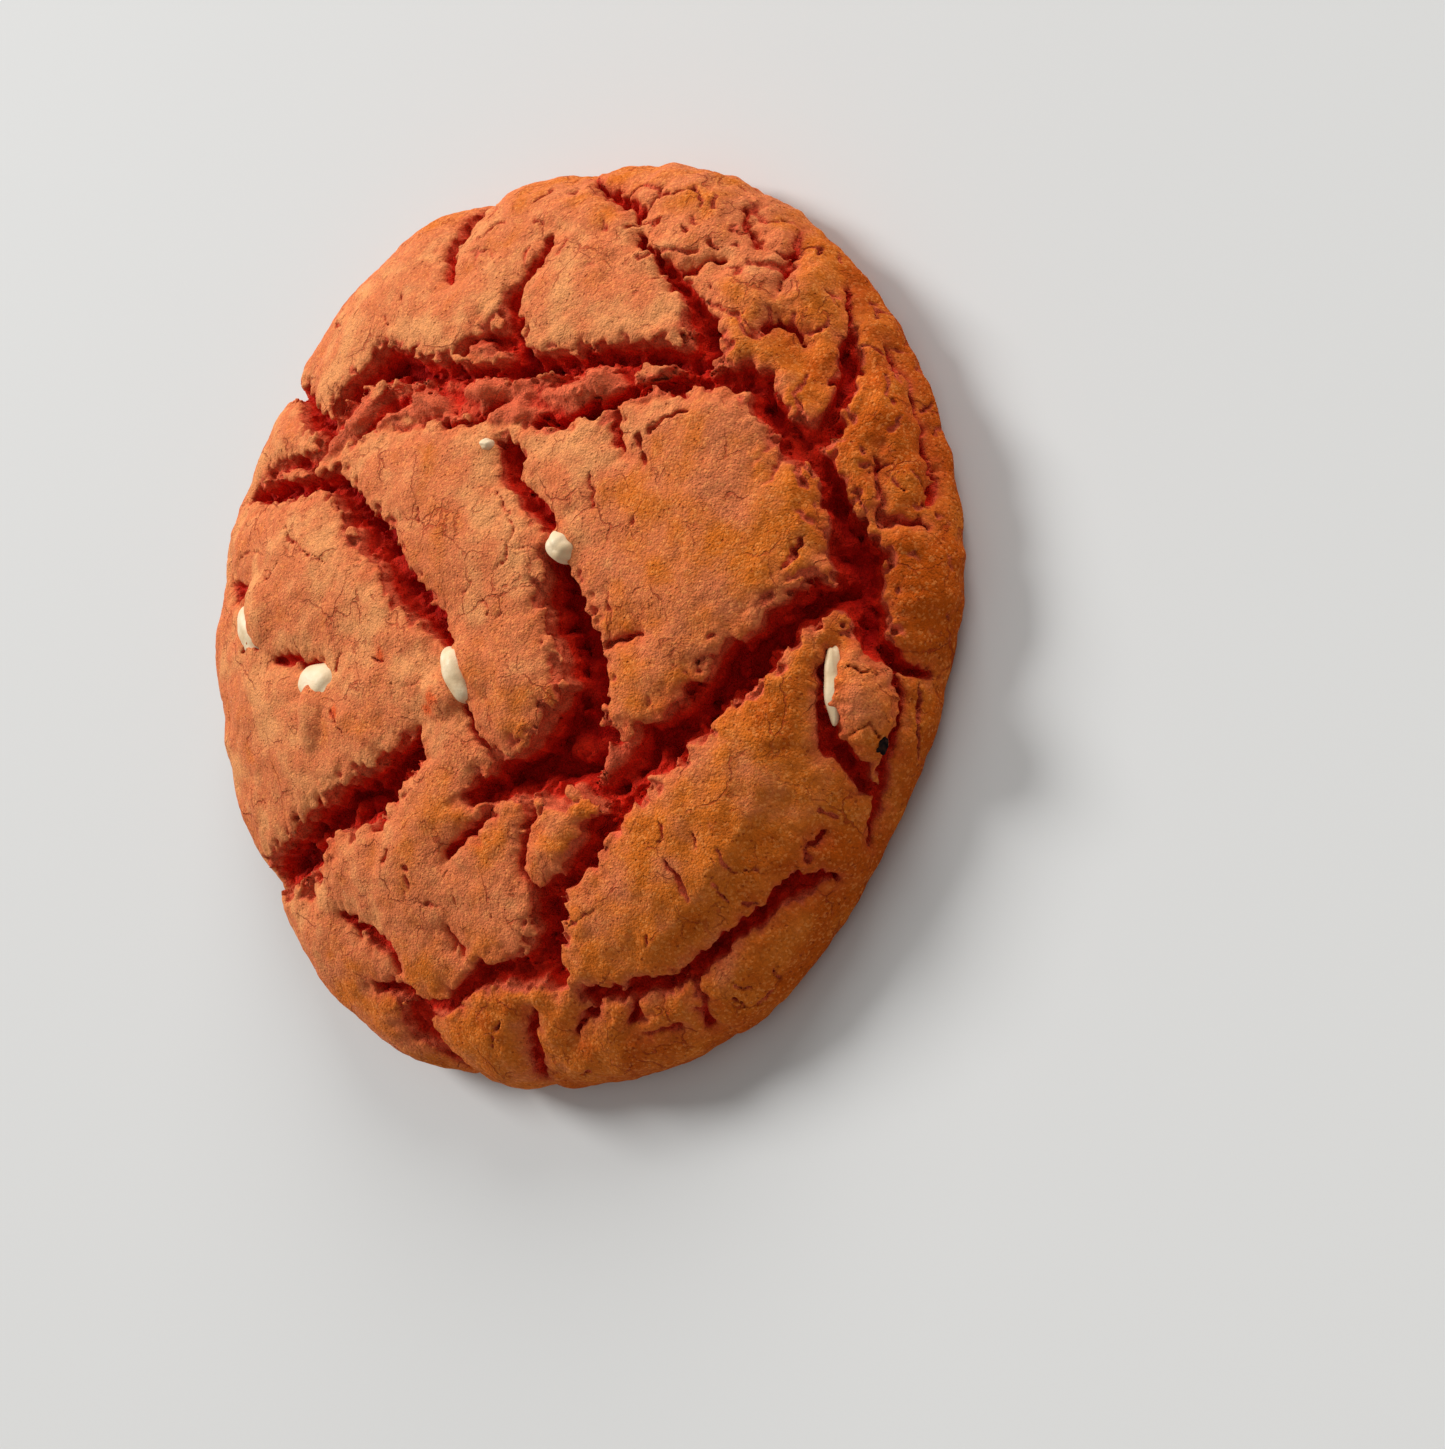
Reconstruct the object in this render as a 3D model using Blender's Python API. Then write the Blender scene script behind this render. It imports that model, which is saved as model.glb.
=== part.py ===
# Strawberry white chocolate cookie: one thick, domed, crackled soft cookie of red dough.
# It lies flat on its baked underside with the crackled face up.
# Metres, +Z up. The origin is on the underside, at the middle of the footprint.
# The crackled skin is mapped from a flat disc: (u, v) is the unrolled place of a point in
# millimetres, where the distance from (0, 0) is the arc length along the skin from the crown.

import math

import bmesh
import bpy
import numpy as np
from mathutils import Matrix, Vector

MM = 0.001

EDGE_RADIUS = 55.0 * MM        # radius at the widest line of the edge
WIDEST_HEIGHT = 2.8 * MM       # height of that widest line over the underside
CROWN_HEIGHT = 21.0 * MM       # height of the middle of the dome
DOME_POWER = 2.2               # superellipse power of the dome: 2 is an ellipse, more is squarer
FOOT_INSET = 3.0 * MM          # how far the rounded foot draws in under the widest line
MIDDLE = (0.06 * MM, 0.55 * MM)  # where the crown lies over the footprint's middle
LOBES = ((2, 0.3, 94.0), (3, 0.55, 80.0), (5, 0.2, 115.0), (6, 0.5, -9.0))  # waves, mm, degrees

CRACK_WALL = 1.3               # mm over which a wide crack falls to its floor
LIP_DROP = 0.45                # mm by which a plate of crust dips towards a crack
LIP_REACH = 1.6                # mm over which it dips
EDGE_JAG = 0.55                # mm by which the torn edges wander
SWELL = 0.55                   # mm of the slow swell of the plates
CRUMB_LUMP = 0.75              # mm of the lumps on the floor of a crack
ICO_LEVEL = 8                  # density of the sphere that the skin is drawn from
TOP_SHARE = 0.80               # share of that sphere spent on the skin, the rest is underside
COOKIE_TRIANGLES = 9600

# Cracks in the crust: depth in mm, then the route as (u, v, width) in mm.
CRACKS = (
    # canyon across the north of the face, with its two creases
    (3.6, ((-46, 37, 3), (-36, 33, 3), (-31, 28, 4), (-27, 26, 3))),
    (4.8, ((-25, 28, 2), (-21, 30, 3), (-17, 32, 4), (-13, 30.5, 4), (-3, 28.5, 2.5), (2, 28, 2.5),
           (7, 27, 4), (12, 26, 3), (18, 25, 5), (24, 24, 6), (31, 23.5, 5))),
    (2.6, ((-27, 23, 5), (-20, 26, 6), (-10, 25, 6), (0, 25, 6), (9, 22.5, 7), (21, 22.5, 7))),
    (3.8, ((-24, 24, 1.2), (-20, 23.2, 2), (-12, 26.5, 2.2))),
    (2.8, ((-3, 31.4, 2), (1, 31.2, 4.6), (5, 30.6, 4))),
    (3.6, ((-4, 22, 1), (0, 21.4, 1.2), (4, 24.2, 1.4))),
    (4.6, ((10, 20.5, 2), (13, 19, 2.2), (18, 20.5, 3), (28, 21.8, 4))),
    # west diagonal, from the left edge to the middle
    (4.2, ((-47, 21, 2), (-42, 20, 3), (-38, 19.5, 4), (-33, 19, 3.4), (-24, 18.5, 3), (-21, 15.5, 3.8),
           (-17, 11.5, 4.5), (-13, 8, 5), (-10, 4, 4.4), (-7, 0.5, 4.2), (-4, -1.5, 3), (-2.5, -4.5, 1.6))),
    (2.4, ((-41, 23, 2), (-36, 22.5, 3), (-29, 21.5, 2))),
    # cracks of the top edge
    (3.0, ((-8, 57, 4), (-8, 50, 3.6), (-9, 46, 2.4), (-7, 41.5, 1))),
    (4.2, ((8.5, 44, 1.6), (8, 42, 2), (6.5, 40, 1.6), (4.5, 36.5, 3), (5, 31.5, 3), (7, 28, 4))),
    (3.0, ((9.5, 57, 1), (13, 52, 1.2), (18, 47.5, 2.2), (20.5, 44.6, 1.3))),
    (3.6, ((20.5, 41.3, 1.4), (23, 38.5, 1.2), (26, 35.5, 1.6), (28.5, 32.5, 2), (31.3, 28, 3),
           (31, 24, 4.4))),
    (2.2, ((27.5, 35.2, 1), (32, 36.3, 1))),
    (2.2, ((33.6, 45, 0.9), (33.8, 42, 1.1), (36.5, 38, 1.2))),
    (2.4, ((40.6, 44, 1), (40.7, 41, 1.1), (40.3, 35, 1.4), (40, 31.5, 1))),
    (2.6, ((38.3, 27, 1), (41.5, 28.2, 1.2), (43, 25.5, 0.9))),
    # east arc, along the shoulder
    (4.0, ((47.5, 35, 1), (48.2, 29, 1.3), (48.5, 25, 2.8), (48, 22.5, 3), (46.8, 17.5, 2),
           (45.5, 15, 3), (43, 13.5, 5), (41, 15.5, 3.2), (37.5, 21, 3.2), (34, 21.5, 3), (30, 22, 3))),
    (4.2, ((44, 13, 3), (46, 10, 2.4), (47.5, 5, 3.4), (49.3, 1, 6), (50, -4, 6), (51.5, -9, 3.6),
           (55, -12, 2), (60, -13.4, 1.2))),
    (2.4, ((51.4, 12, 0.9), (51.7, 6.5, 1), (52.5, 4.3, 1.6), (57.5, 4.8, 1))),
    (2.4, ((52.5, 26.5, 1), (55.5, 22, 1.2), (58, 15, 1.1), (59.2, 10, 1.1), (58.5, 7, 0.9))),
    # central canyon
    (4.0, ((5.4, 18, 2), (6.5, 16, 3), (6.3, 14, 2.2), (8, 12, 2), (9.6, 10.5, 2.8), (11, 9, 2.2),
           (13, 7, 2.4))),
    (5.6, ((14.5, 3, 3.6), (15, -1, 5.6), (16, -4, 6.4), (17, -8, 6), (17.5, -12, 6), (16, -16, 8),
           (12, -19.5, 7.5), (6, -20.5, 5.2), (0.5, -22, 2.6))),
    (2.4, ((20.5, -6.8, 1.2), (24.6, -6.3, 0.9))),
    (2.8, ((4.5, -17.6, 1.2), (2.4, -15.4, 1.2), (0, -12, 1.3))),
    (3.0, ((3, -24.3, 1), (-2, -27.2, 1.8), (-4.5, -28.6, 1))),
    (2.4, ((21, 18.5, 1.3), (21.3, 16, 1.6), (22.2, 14.4, 1))),
    # south-east diagonal canyon and the branch that leaves it southwards
    (5.0, ((49, -3, 4), (43, -5, 5), (40, -7.5, 4.6), (36.5, -11, 5.8), (30, -16, 5.4), (26, -19.5, 6),
           (20, -20.5, 8), (15, -18, 8))),
    (3.8, ((23, -23, 3), (20, -25, 3), (17.5, -27, 3.4), (16, -29.5, 3), (13, -32, 2.2), (10, -33.5, 2.8),
           (9, -38, 4.6), (8.5, -41, 4), (8.3, -44, 3))),
    (2.8, ((8.5, -22.5, 1.8), (8.4, -25.5, 1.5), (7.4, -28, 1.6), (6.6, -31, 1.1), (8, -33.8, 2))),
    # dough hump in the east and the cracks around it
    (3.8, ((46.5, -10, 1.4), (46, -16, 1.6), (47, -20.5, 2.8), (49.5, -23.5, 3), (51, -26, 2))),
    (2.8, ((53.6, -10, 1.2), (54.3, -15, 1.2), (53.6, -21, 1.6), (52.4, -27, 2.2), (51, -33, 1.4))),
    # south arc, along the shoulder, and the cracks below it
    (3.8, ((12, -45.6, 2), (17, -45.6, 2.4), (22, -45, 2.2), (27, -43.4, 2.4), (32, -40.6, 2.4),
           (36, -38.2, 2.4), (40, -36.3, 3), (43.5, -35.6, 2.4), (46, -36.8, 1))),
    (2.2, ((42, -33.6, 1), (44.5, -29.8, 1))),
    (3.0, ((13.5, -45.8, 2.2), (12.4, -47.6, 1.7), (8.8, -51.2, 0.9))),
    (3.0, ((18.5, -45.6, 1.8), (18, -48.5, 2), (16.8, -50, 1.2))),
    (2.4, ((18, -51.4, 1.2), (22.6, -51.2, 1.2))),
    (2.6, ((26.1, -44.5, 1.2), (26.2, -49, 1.2), (26, -52, 2))),
    # south-west canyon
    (5.0, ((-7, -13.5, 1.2), (-8, -16, 3.2), (-12, -18, 4.8), (-16, -21.5, 6), (-21, -23, 4.4),
           (-26, -24.5, 5.2), (-31, -27, 7), (-37, -29.5, 5), (-46, -31.5, 4.4))),
    (2.6, ((-30, -29, 3), (-32, -32, 3))),
    # cracks of the lower left
    (3.2, ((-25, -34.5, 1.4), (-20, -36.5, 2.2), (-17.5, -38, 2.6), (-15.5, -41, 1.6))),
    (3.4, ((-21.5, -43.5, 1.8), (-17, -44, 2.8), (-13.5, -46.5, 3.4), (-9, -46.5, 2), (-6, -45, 2),
           (-3, -43.4, 3), (2, -42.8, 3.2), (8, -42.2, 4))),
    (2.6, ((-16, -49, 6), (-14, -54, 4), (-13, -60, 2.4))),
    (2.2, ((-6.2, -37, 0.9), (-4.6, -40.2, 1.2))),
    (3.0, ((3.4, -47.6, 1.1), (3, -49.5, 1.4), (2.3, -52, 2.2), (0.8, -56, 2.2), (-1, -60, 1.2))),
    (2.2, ((-34, -3, 1.4), (-31, -3.3, 1.7), (-24.5, -4.6, 1))),
    (2.0, ((-50, 9.5, 2.4), (-45, 7, 2.6), (-41.5, 7, 1.2))),
)

# Mounds of dough: (u, v, half length, half width, turn in degrees, height in mm).
MOUNDS = (
    (-22, 24, 8.5, 2.2, 38, 2.2),
    (1.5, 30.2, 3.6, 1.6, -14, 1.8),
    (6, 22, 4.2, 2.4, 20, 1.2),
    (13.5, 22.6, 3.2, 1.6, 0, 1.1),
    (50, -15.5, 7.6, 3.6, 97, 1.5),
    (20.5, -19.5, 4.2, 2.4, 35, 1.6),
    (-23.5, -26, 3.6, 1.5, 12, 1.6),
    (-19, -41.2, 2.8, 1.0, 0, 0.8),
)

# Steps, where the outer side of an arc lies lower: (radius of the arc, from and to in degrees, drop).
SHOULDER_STEPS = ((46.5, -58.0, -34.0, 1.1), (47.0, -12.0, 36.0, 1.1))

# White chocolate that shows: (u, v, length, width, thickness, turn in degrees, sink in mm).
CHIPS = (
    (-40.5, 3.2, 8.0, 5.2, 3.4, -35.0, 1.0),
    (-26.0, -7.4, 8.6, 5.4, 3.4, 5.0, 1.1),
    (-0.9, -8.4, 5.8, 3.2, 3.4, -62.0, 0.9),
    (14.3, 4.6, 4.2, 3.4, 3.4, -50.0, 0.7),
    (3.7, 18.0, 2.4, 1.9, 2.0, -20.0, 0.5),
    (46.9, -13.4, 7.8, 2.4, 3.4, 86.0, 0.4),
)

CRUST_COLOUR = (0.60, 0.235, 0.105, 1.0)
CRUST_ROUGHNESS = 0.85


def lattice_noise(x, y, seed):
    """Smooth gradient noise, about -1 to 1, one cell a unit."""
    xi = np.floor(x).astype(np.int64)
    yi = np.floor(y).astype(np.int64)
    xf = x - xi
    yf = y - yi
    fade_x = xf ** 3 * (xf * (xf * 6 - 15) + 10)
    fade_y = yf ** 3 * (yf * (yf * 6 - 15) + 10)

    def corner(dx, dy):
        mixed = ((xi + dx) * 374761393 + (yi + dy) * 668265263 + seed * 974711) & 0xFFFFFFFF
        mixed = ((mixed ^ (mixed >> 13)) * 1274126177) & 0xFFFFFFFF
        angle = (mixed ^ (mixed >> 16)) / 4294967296.0 * 2 * math.pi
        return np.cos(angle) * (xf - dx) + np.sin(angle) * (yf - dy)

    low = corner(0, 0) + fade_x * (corner(1, 0) - corner(0, 0))
    high = corner(0, 1) + fade_x * (corner(1, 1) - corner(0, 1))
    return 1.45 * (low + fade_y * (high - low))


def half_profile():
    """Radius and height of the skin, crown to underside, with its arc length, all in metres."""
    turn = np.linspace(0.0, math.pi / 2, 600)
    power = 2.0 / DOME_POWER
    rise = CROWN_HEIGHT - WIDEST_HEIGHT
    radius = EDGE_RADIUS * np.sin(turn) ** power
    height = WIDEST_HEIGHT + rise * np.cos(turn) ** power
    foot = np.linspace(0.0, math.pi / 2, 60)[1:]
    radius = np.concatenate((radius, EDGE_RADIUS - FOOT_INSET * (1 - np.cos(foot))))
    height = np.concatenate((height, WIDEST_HEIGHT * (1 - np.sin(foot))))
    step = np.hypot(np.diff(radius), np.diff(height))
    return radius, height, np.concatenate(((0.0,), np.cumsum(step)))


def lobed(angle):
    """How far the outline stands out at an angle, as a factor near 1."""
    factor = np.ones_like(angle)
    for waves, size, phase in LOBES:
        factor += size * MM / EDGE_RADIUS * np.cos(waves * angle - math.radians(phase))
    return factor


def smooth_step(low, high, value):
    part = np.clip((value - low) / (high - low), 0.0, 1.0)
    return part * part * (3 - 2 * part)


def relief(u, v):
    """Height of the crackled skin over the smooth dome, in mm, at unrolled places in mm."""
    jag_u = u + EDGE_JAG * lattice_noise(u / 3.1, v / 3.1, 1)
    jag_v = v + EDGE_JAG * lattice_noise(u / 3.1, v / 3.1, 2)
    cut = np.zeros_like(u)
    nearest = np.full_like(u, -1e3)
    for depth, route in CRACKS:
        for (au, av, aw), (bu, bv, bw) in zip(route[:-1], route[1:]):
            along_u = bu - au
            along_v = bv - av
            part = ((jag_u - au) * along_u + (jag_v - av) * along_v) / (along_u ** 2 + along_v ** 2)
            part = np.clip(part, 0.0, 1.0)
            away = np.hypot(jag_u - au - part * along_u, jag_v - av - part * along_v)
            half = 0.5 * (aw + part * (bw - aw))
            inside = half - away
            floor = depth * np.minimum(1.0, 0.45 + 0.3 * half)
            fall = np.clip(inside / np.minimum(half, CRACK_WALL), 0.0, 1.0) ** 0.7
            cut = np.maximum(cut, floor * fall)
            nearest = np.maximum(nearest, inside)
    lumps = CRUMB_LUMP * (lattice_noise(u / 2.7, v / 2.7, 5) + 0.3)
    height = -cut + lumps * smooth_step(0.3, 1.6, nearest)
    height -= LIP_DROP * np.exp(np.minimum(nearest, 0.0) / LIP_REACH)
    height += SWELL * lattice_noise(u / 13.0, v / 13.0, 7) + 0.2 * lattice_noise(u / 5.0, v / 5.0, 8)
    for mu, mv, length, width, turn, tall in MOUNDS:
        c = math.cos(math.radians(turn))
        s = math.sin(math.radians(turn))
        p = ((jag_u - mu) * c + (jag_v - mv) * s) / length
        q = ((jag_v - mv) * c - (jag_u - mu) * s) / width
        height += tall * np.clip(1.0 - p * p - q * q, 0.0, 1.0) ** 0.6
    radial = np.hypot(u, v)
    angle = np.degrees(np.arctan2(v, u))
    for radius, start, end, drop in SHOULDER_STEPS:
        span = smooth_step(start - 6, start + 6, angle) * (1 - smooth_step(end - 6, end + 6, angle))
        height -= drop * span * smooth_step(radius - 1, radius + 1, radial) * np.exp(
            -np.clip(radial - radius, 0.0, None) / 7.0)
    return height


PROFILE_R, PROFILE_Z, PROFILE_S = half_profile()
SKIN_LENGTH = PROFILE_S[-1]


def on_dome(arc, angle):
    """Point of the smooth dome and its outward normal, from arc length in metres and angle."""
    radius = np.interp(arc, PROFILE_S, PROFILE_R)
    height = np.interp(arc, PROFILE_S, PROFILE_Z)
    reach = 0.4 * MM
    slope_r = np.interp(arc + reach, PROFILE_S, PROFILE_R) - np.interp(arc - reach, PROFILE_S, PROFILE_R)
    slope_z = np.interp(arc + reach, PROFILE_S, PROFILE_Z) - np.interp(arc - reach, PROFILE_S, PROFILE_Z)
    size = np.hypot(slope_r, slope_z)
    reach_out = radius * lobed(angle)
    point = np.stack((MIDDLE[0] + reach_out * np.cos(angle), MIDDLE[1] + reach_out * np.sin(angle), height), -1)
    out = -slope_z / size
    normal = np.stack((out * np.cos(angle), out * np.sin(angle), slope_r / size), -1)
    return point, normal


def skin(u, v):
    """Point of the crackled skin at unrolled places in mm."""
    arc = np.hypot(u, v) * MM
    angle = np.arctan2(v, u)
    point, normal = on_dome(arc, angle)
    fade = 1 - smooth_step(SKIN_LENGTH - 5.5 * MM, SKIN_LENGTH, arc)
    point = point + normal * (relief(u, v) * MM * fade)[:, None]
    point[:, 2] = np.maximum(point[:, 2], 0.0)
    return point


def new_material(name, colour, roughness):
    material = bpy.data.materials.new(name)
    material.use_nodes = True
    shader = material.node_tree.nodes["Principled BSDF"]
    shader.inputs["Base Color"].default_value = colour
    shader.inputs["Roughness"].default_value = roughness
    shader.inputs["Metallic"].default_value = 0.0
    material.diffuse_color = colour
    return material


def put_in(collection, item):
    for owner in list(item.users_collection):
        owner.objects.unlink(item)
    collection.objects.link(item)


def apply_modifiers(item):
    bpy.context.view_layer.update()
    evaluated = item.evaluated_get(bpy.context.evaluated_depsgraph_get())
    mesh = bpy.data.meshes.new_from_object(evaluated)
    item.modifiers.clear()
    item.data = mesh


for item in list(bpy.data.objects):
    bpy.data.objects.remove(item, do_unlink=True)

parts = bpy.data.collections.new("strawberry_white_chocolate_cookie")
bpy.context.scene.collection.children.link(parts)
fused = bpy.data.collections.new("fused_toppings")
bpy.context.scene.collection.children.link(fused)

# Dough: a sphere drawn out over the dome, the shoulder, the foot and the flat underside.
bpy.ops.mesh.primitive_ico_sphere_add(subdivisions=ICO_LEVEL, radius=1.0)
cookie = bpy.context.object
cookie.name = "cookie"
cookie.data.name = "cookie"
put_in(parts, cookie)
count = len(cookie.data.vertices)
flat = np.empty(count * 3)
cookie.data.vertices.foreach_get("co", flat)
ball = flat.reshape(count, 3)
around = np.arctan2(ball[:, 1], ball[:, 0])
used = np.clip((1 - ball[:, 2] / np.linalg.norm(ball, axis=1)) / 2, 0.0, 1.0)
top = used <= TOP_SHARE
placed = np.zeros((count, 3))
arc_mm = SKIN_LENGTH / MM * np.sqrt(used[top] / TOP_SHARE)
placed[top] = skin(arc_mm * np.cos(around[top]), arc_mm * np.sin(around[top]))
under = np.sqrt(np.clip((1 - used[~top]) / (1 - TOP_SHARE), 0.0, 1.0))
base_radius = (EDGE_RADIUS - FOOT_INSET) * lobed(around[~top]) * under
placed[~top, 0] = MIDDLE[0] + base_radius * np.cos(around[~top])
placed[~top, 1] = MIDDLE[1] + base_radius * np.sin(around[~top])
cookie.data.vertices.foreach_set("co", placed.reshape(-1))
cookie.data.update()
cookie.data.shade_smooth()

thin = cookie.modifiers.new("fewer triangles", "DECIMATE")
thin.decimate_type = "COLLAPSE"
thin.ratio = COOKIE_TRIANGLES / len(cookie.data.polygons)
apply_modifiers(cookie)
for vertex in cookie.data.vertices:
    if vertex.co.z < 0.12 * MM:
        vertex.co.z = 0.0

# White chocolate: rounded drops pressed into the skin, then joined to the dough.
for number, (cu, cv, length, width, thick, turn, sink) in enumerate(CHIPS):
    bpy.ops.mesh.primitive_uv_sphere_add(segments=14, ring_count=9, radius=0.5)
    chip = bpy.context.object
    chip.name = "chip_%d" % number
    put_in(fused, chip)
    spot, facing = on_dome(np.array([math.hypot(cu, cv) * MM]), np.array([math.atan2(cv, cu)]))
    spot = Vector(spot[0])
    facing = Vector(facing[0])
    east = Vector((1, 0, 0)) - facing * facing.x
    east.normalize()
    north = facing.cross(east)
    frame = Matrix((east, north, facing)).transposed().to_4x4()
    grow = Matrix.Diagonal((length * MM, width * MM, thick * MM, 1.0))
    move = Matrix.Translation(spot - facing * sink * MM)
    chip.data.transform(move @ frame @ Matrix.Rotation(math.radians(turn), 4, "Z") @ grow)

join = cookie.modifiers.new("chips in the dough", "BOOLEAN")
join.operation = "UNION"
join.operand_type = "COLLECTION"
join.collection = fused
join.solver = "MANIFOLD"
apply_modifiers(cookie)
for item in list(fused.objects):
    bpy.data.objects.remove(item, do_unlink=True)
bpy.data.collections.remove(fused)

cookie.data.materials.clear()
cookie.data.materials.append(new_material("baked_crust", CRUST_COLOUR, CRUST_ROUGHNESS))
form = bmesh.new()
form.from_mesh(cookie.data)
bmesh.ops.triangulate(form, faces=form.faces)
form.to_mesh(cookie.data)
form.free()
for face in cookie.data.polygons:
    face.material_index = 0
cookie.data.set_sharp_from_angle(angle=math.radians(60))
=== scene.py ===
import math

import bpy
import numpy as np
from mathutils import Matrix, Vector


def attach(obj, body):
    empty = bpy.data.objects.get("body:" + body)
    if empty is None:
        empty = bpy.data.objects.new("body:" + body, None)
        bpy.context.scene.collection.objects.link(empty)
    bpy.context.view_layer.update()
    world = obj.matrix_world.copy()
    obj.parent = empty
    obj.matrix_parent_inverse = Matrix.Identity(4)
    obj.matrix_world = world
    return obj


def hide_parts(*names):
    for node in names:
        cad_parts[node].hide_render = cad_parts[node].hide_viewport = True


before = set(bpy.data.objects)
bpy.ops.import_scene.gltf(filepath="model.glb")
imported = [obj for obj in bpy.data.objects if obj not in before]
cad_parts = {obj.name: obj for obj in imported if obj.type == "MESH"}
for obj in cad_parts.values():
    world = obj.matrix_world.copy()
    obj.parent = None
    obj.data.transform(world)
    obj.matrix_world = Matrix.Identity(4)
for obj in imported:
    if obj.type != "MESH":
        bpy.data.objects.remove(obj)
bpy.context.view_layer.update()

MM = 0.001

# The same smooth dome as the solid: a superellipse over a rounded foot, with a wavy outline.
EDGE_RADIUS = 55.0
WIDEST_HEIGHT = 2.8
CROWN_HEIGHT = 21.0
DOME_POWER = 2.2
FOOT_INSET = 3.0
MIDDLE = (0.06, 0.55)
LOBES = ((2, 0.3, 94.0), (3, 0.55, 80.0), (5, 0.2, 115.0), (6, 0.5, -9.0))

GRID = 0.15  # mm between the points of the fields on the skin
VOXEL = 0.25  # mm between the points of the field in space
HALF_WIDTH = 56.75  # mm, half of the field in space along x
HALF_DEPTH = 55.75  # mm, half of it along y
FIELD_HEIGHT = 22.5  # mm
WORKED_BELOW = 7.0  # mm of the field that are worked out under the smooth dome
WORKED_ABOVE = 3.0  # mm that are worked out over it
WORKED_REACH = 61.0  # mm from the middle
SKIN_MARGIN = 3.0  # mm by which the fields on the skin go past its edge
RELIEF_FADE = 5.5  # mm of skin over which the relief dies out at the foot
FAR = 9.0  # more than any distance to a crack or a scattered point
CRACK_MARGIN = 8.0  # mm around a crack where it is looked for
PIECES = 5  # bands that the skin is split into
CHIP_FOLLOW = 0.75  # share of the height of the dough that a chip goes with
UNDERCUT = 0.45  # mm by which a crack widens under the crust
CRACK_WALL = 1.0  # mm over which a wide crack falls to its floor
LIP_DROP = 0.45  # mm by which a plate dips towards a crack
LIP_REACH = 1.2  # mm over which it dips
PILLOW = 0.75  # mm by which a plate is lower at its rim than in its middle
PILLOW_REACH = 3.6  # mm over which it rounds off
HUMP_FROM = 50.0  # u of the hump at the right, which rises above the plates
UNDERSIDE_RINGS = 60
UNDERSIDE_SECTORS = 180
FLAT_REACH = 50.0  # mm from the middle to where the tray's marks end

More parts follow.
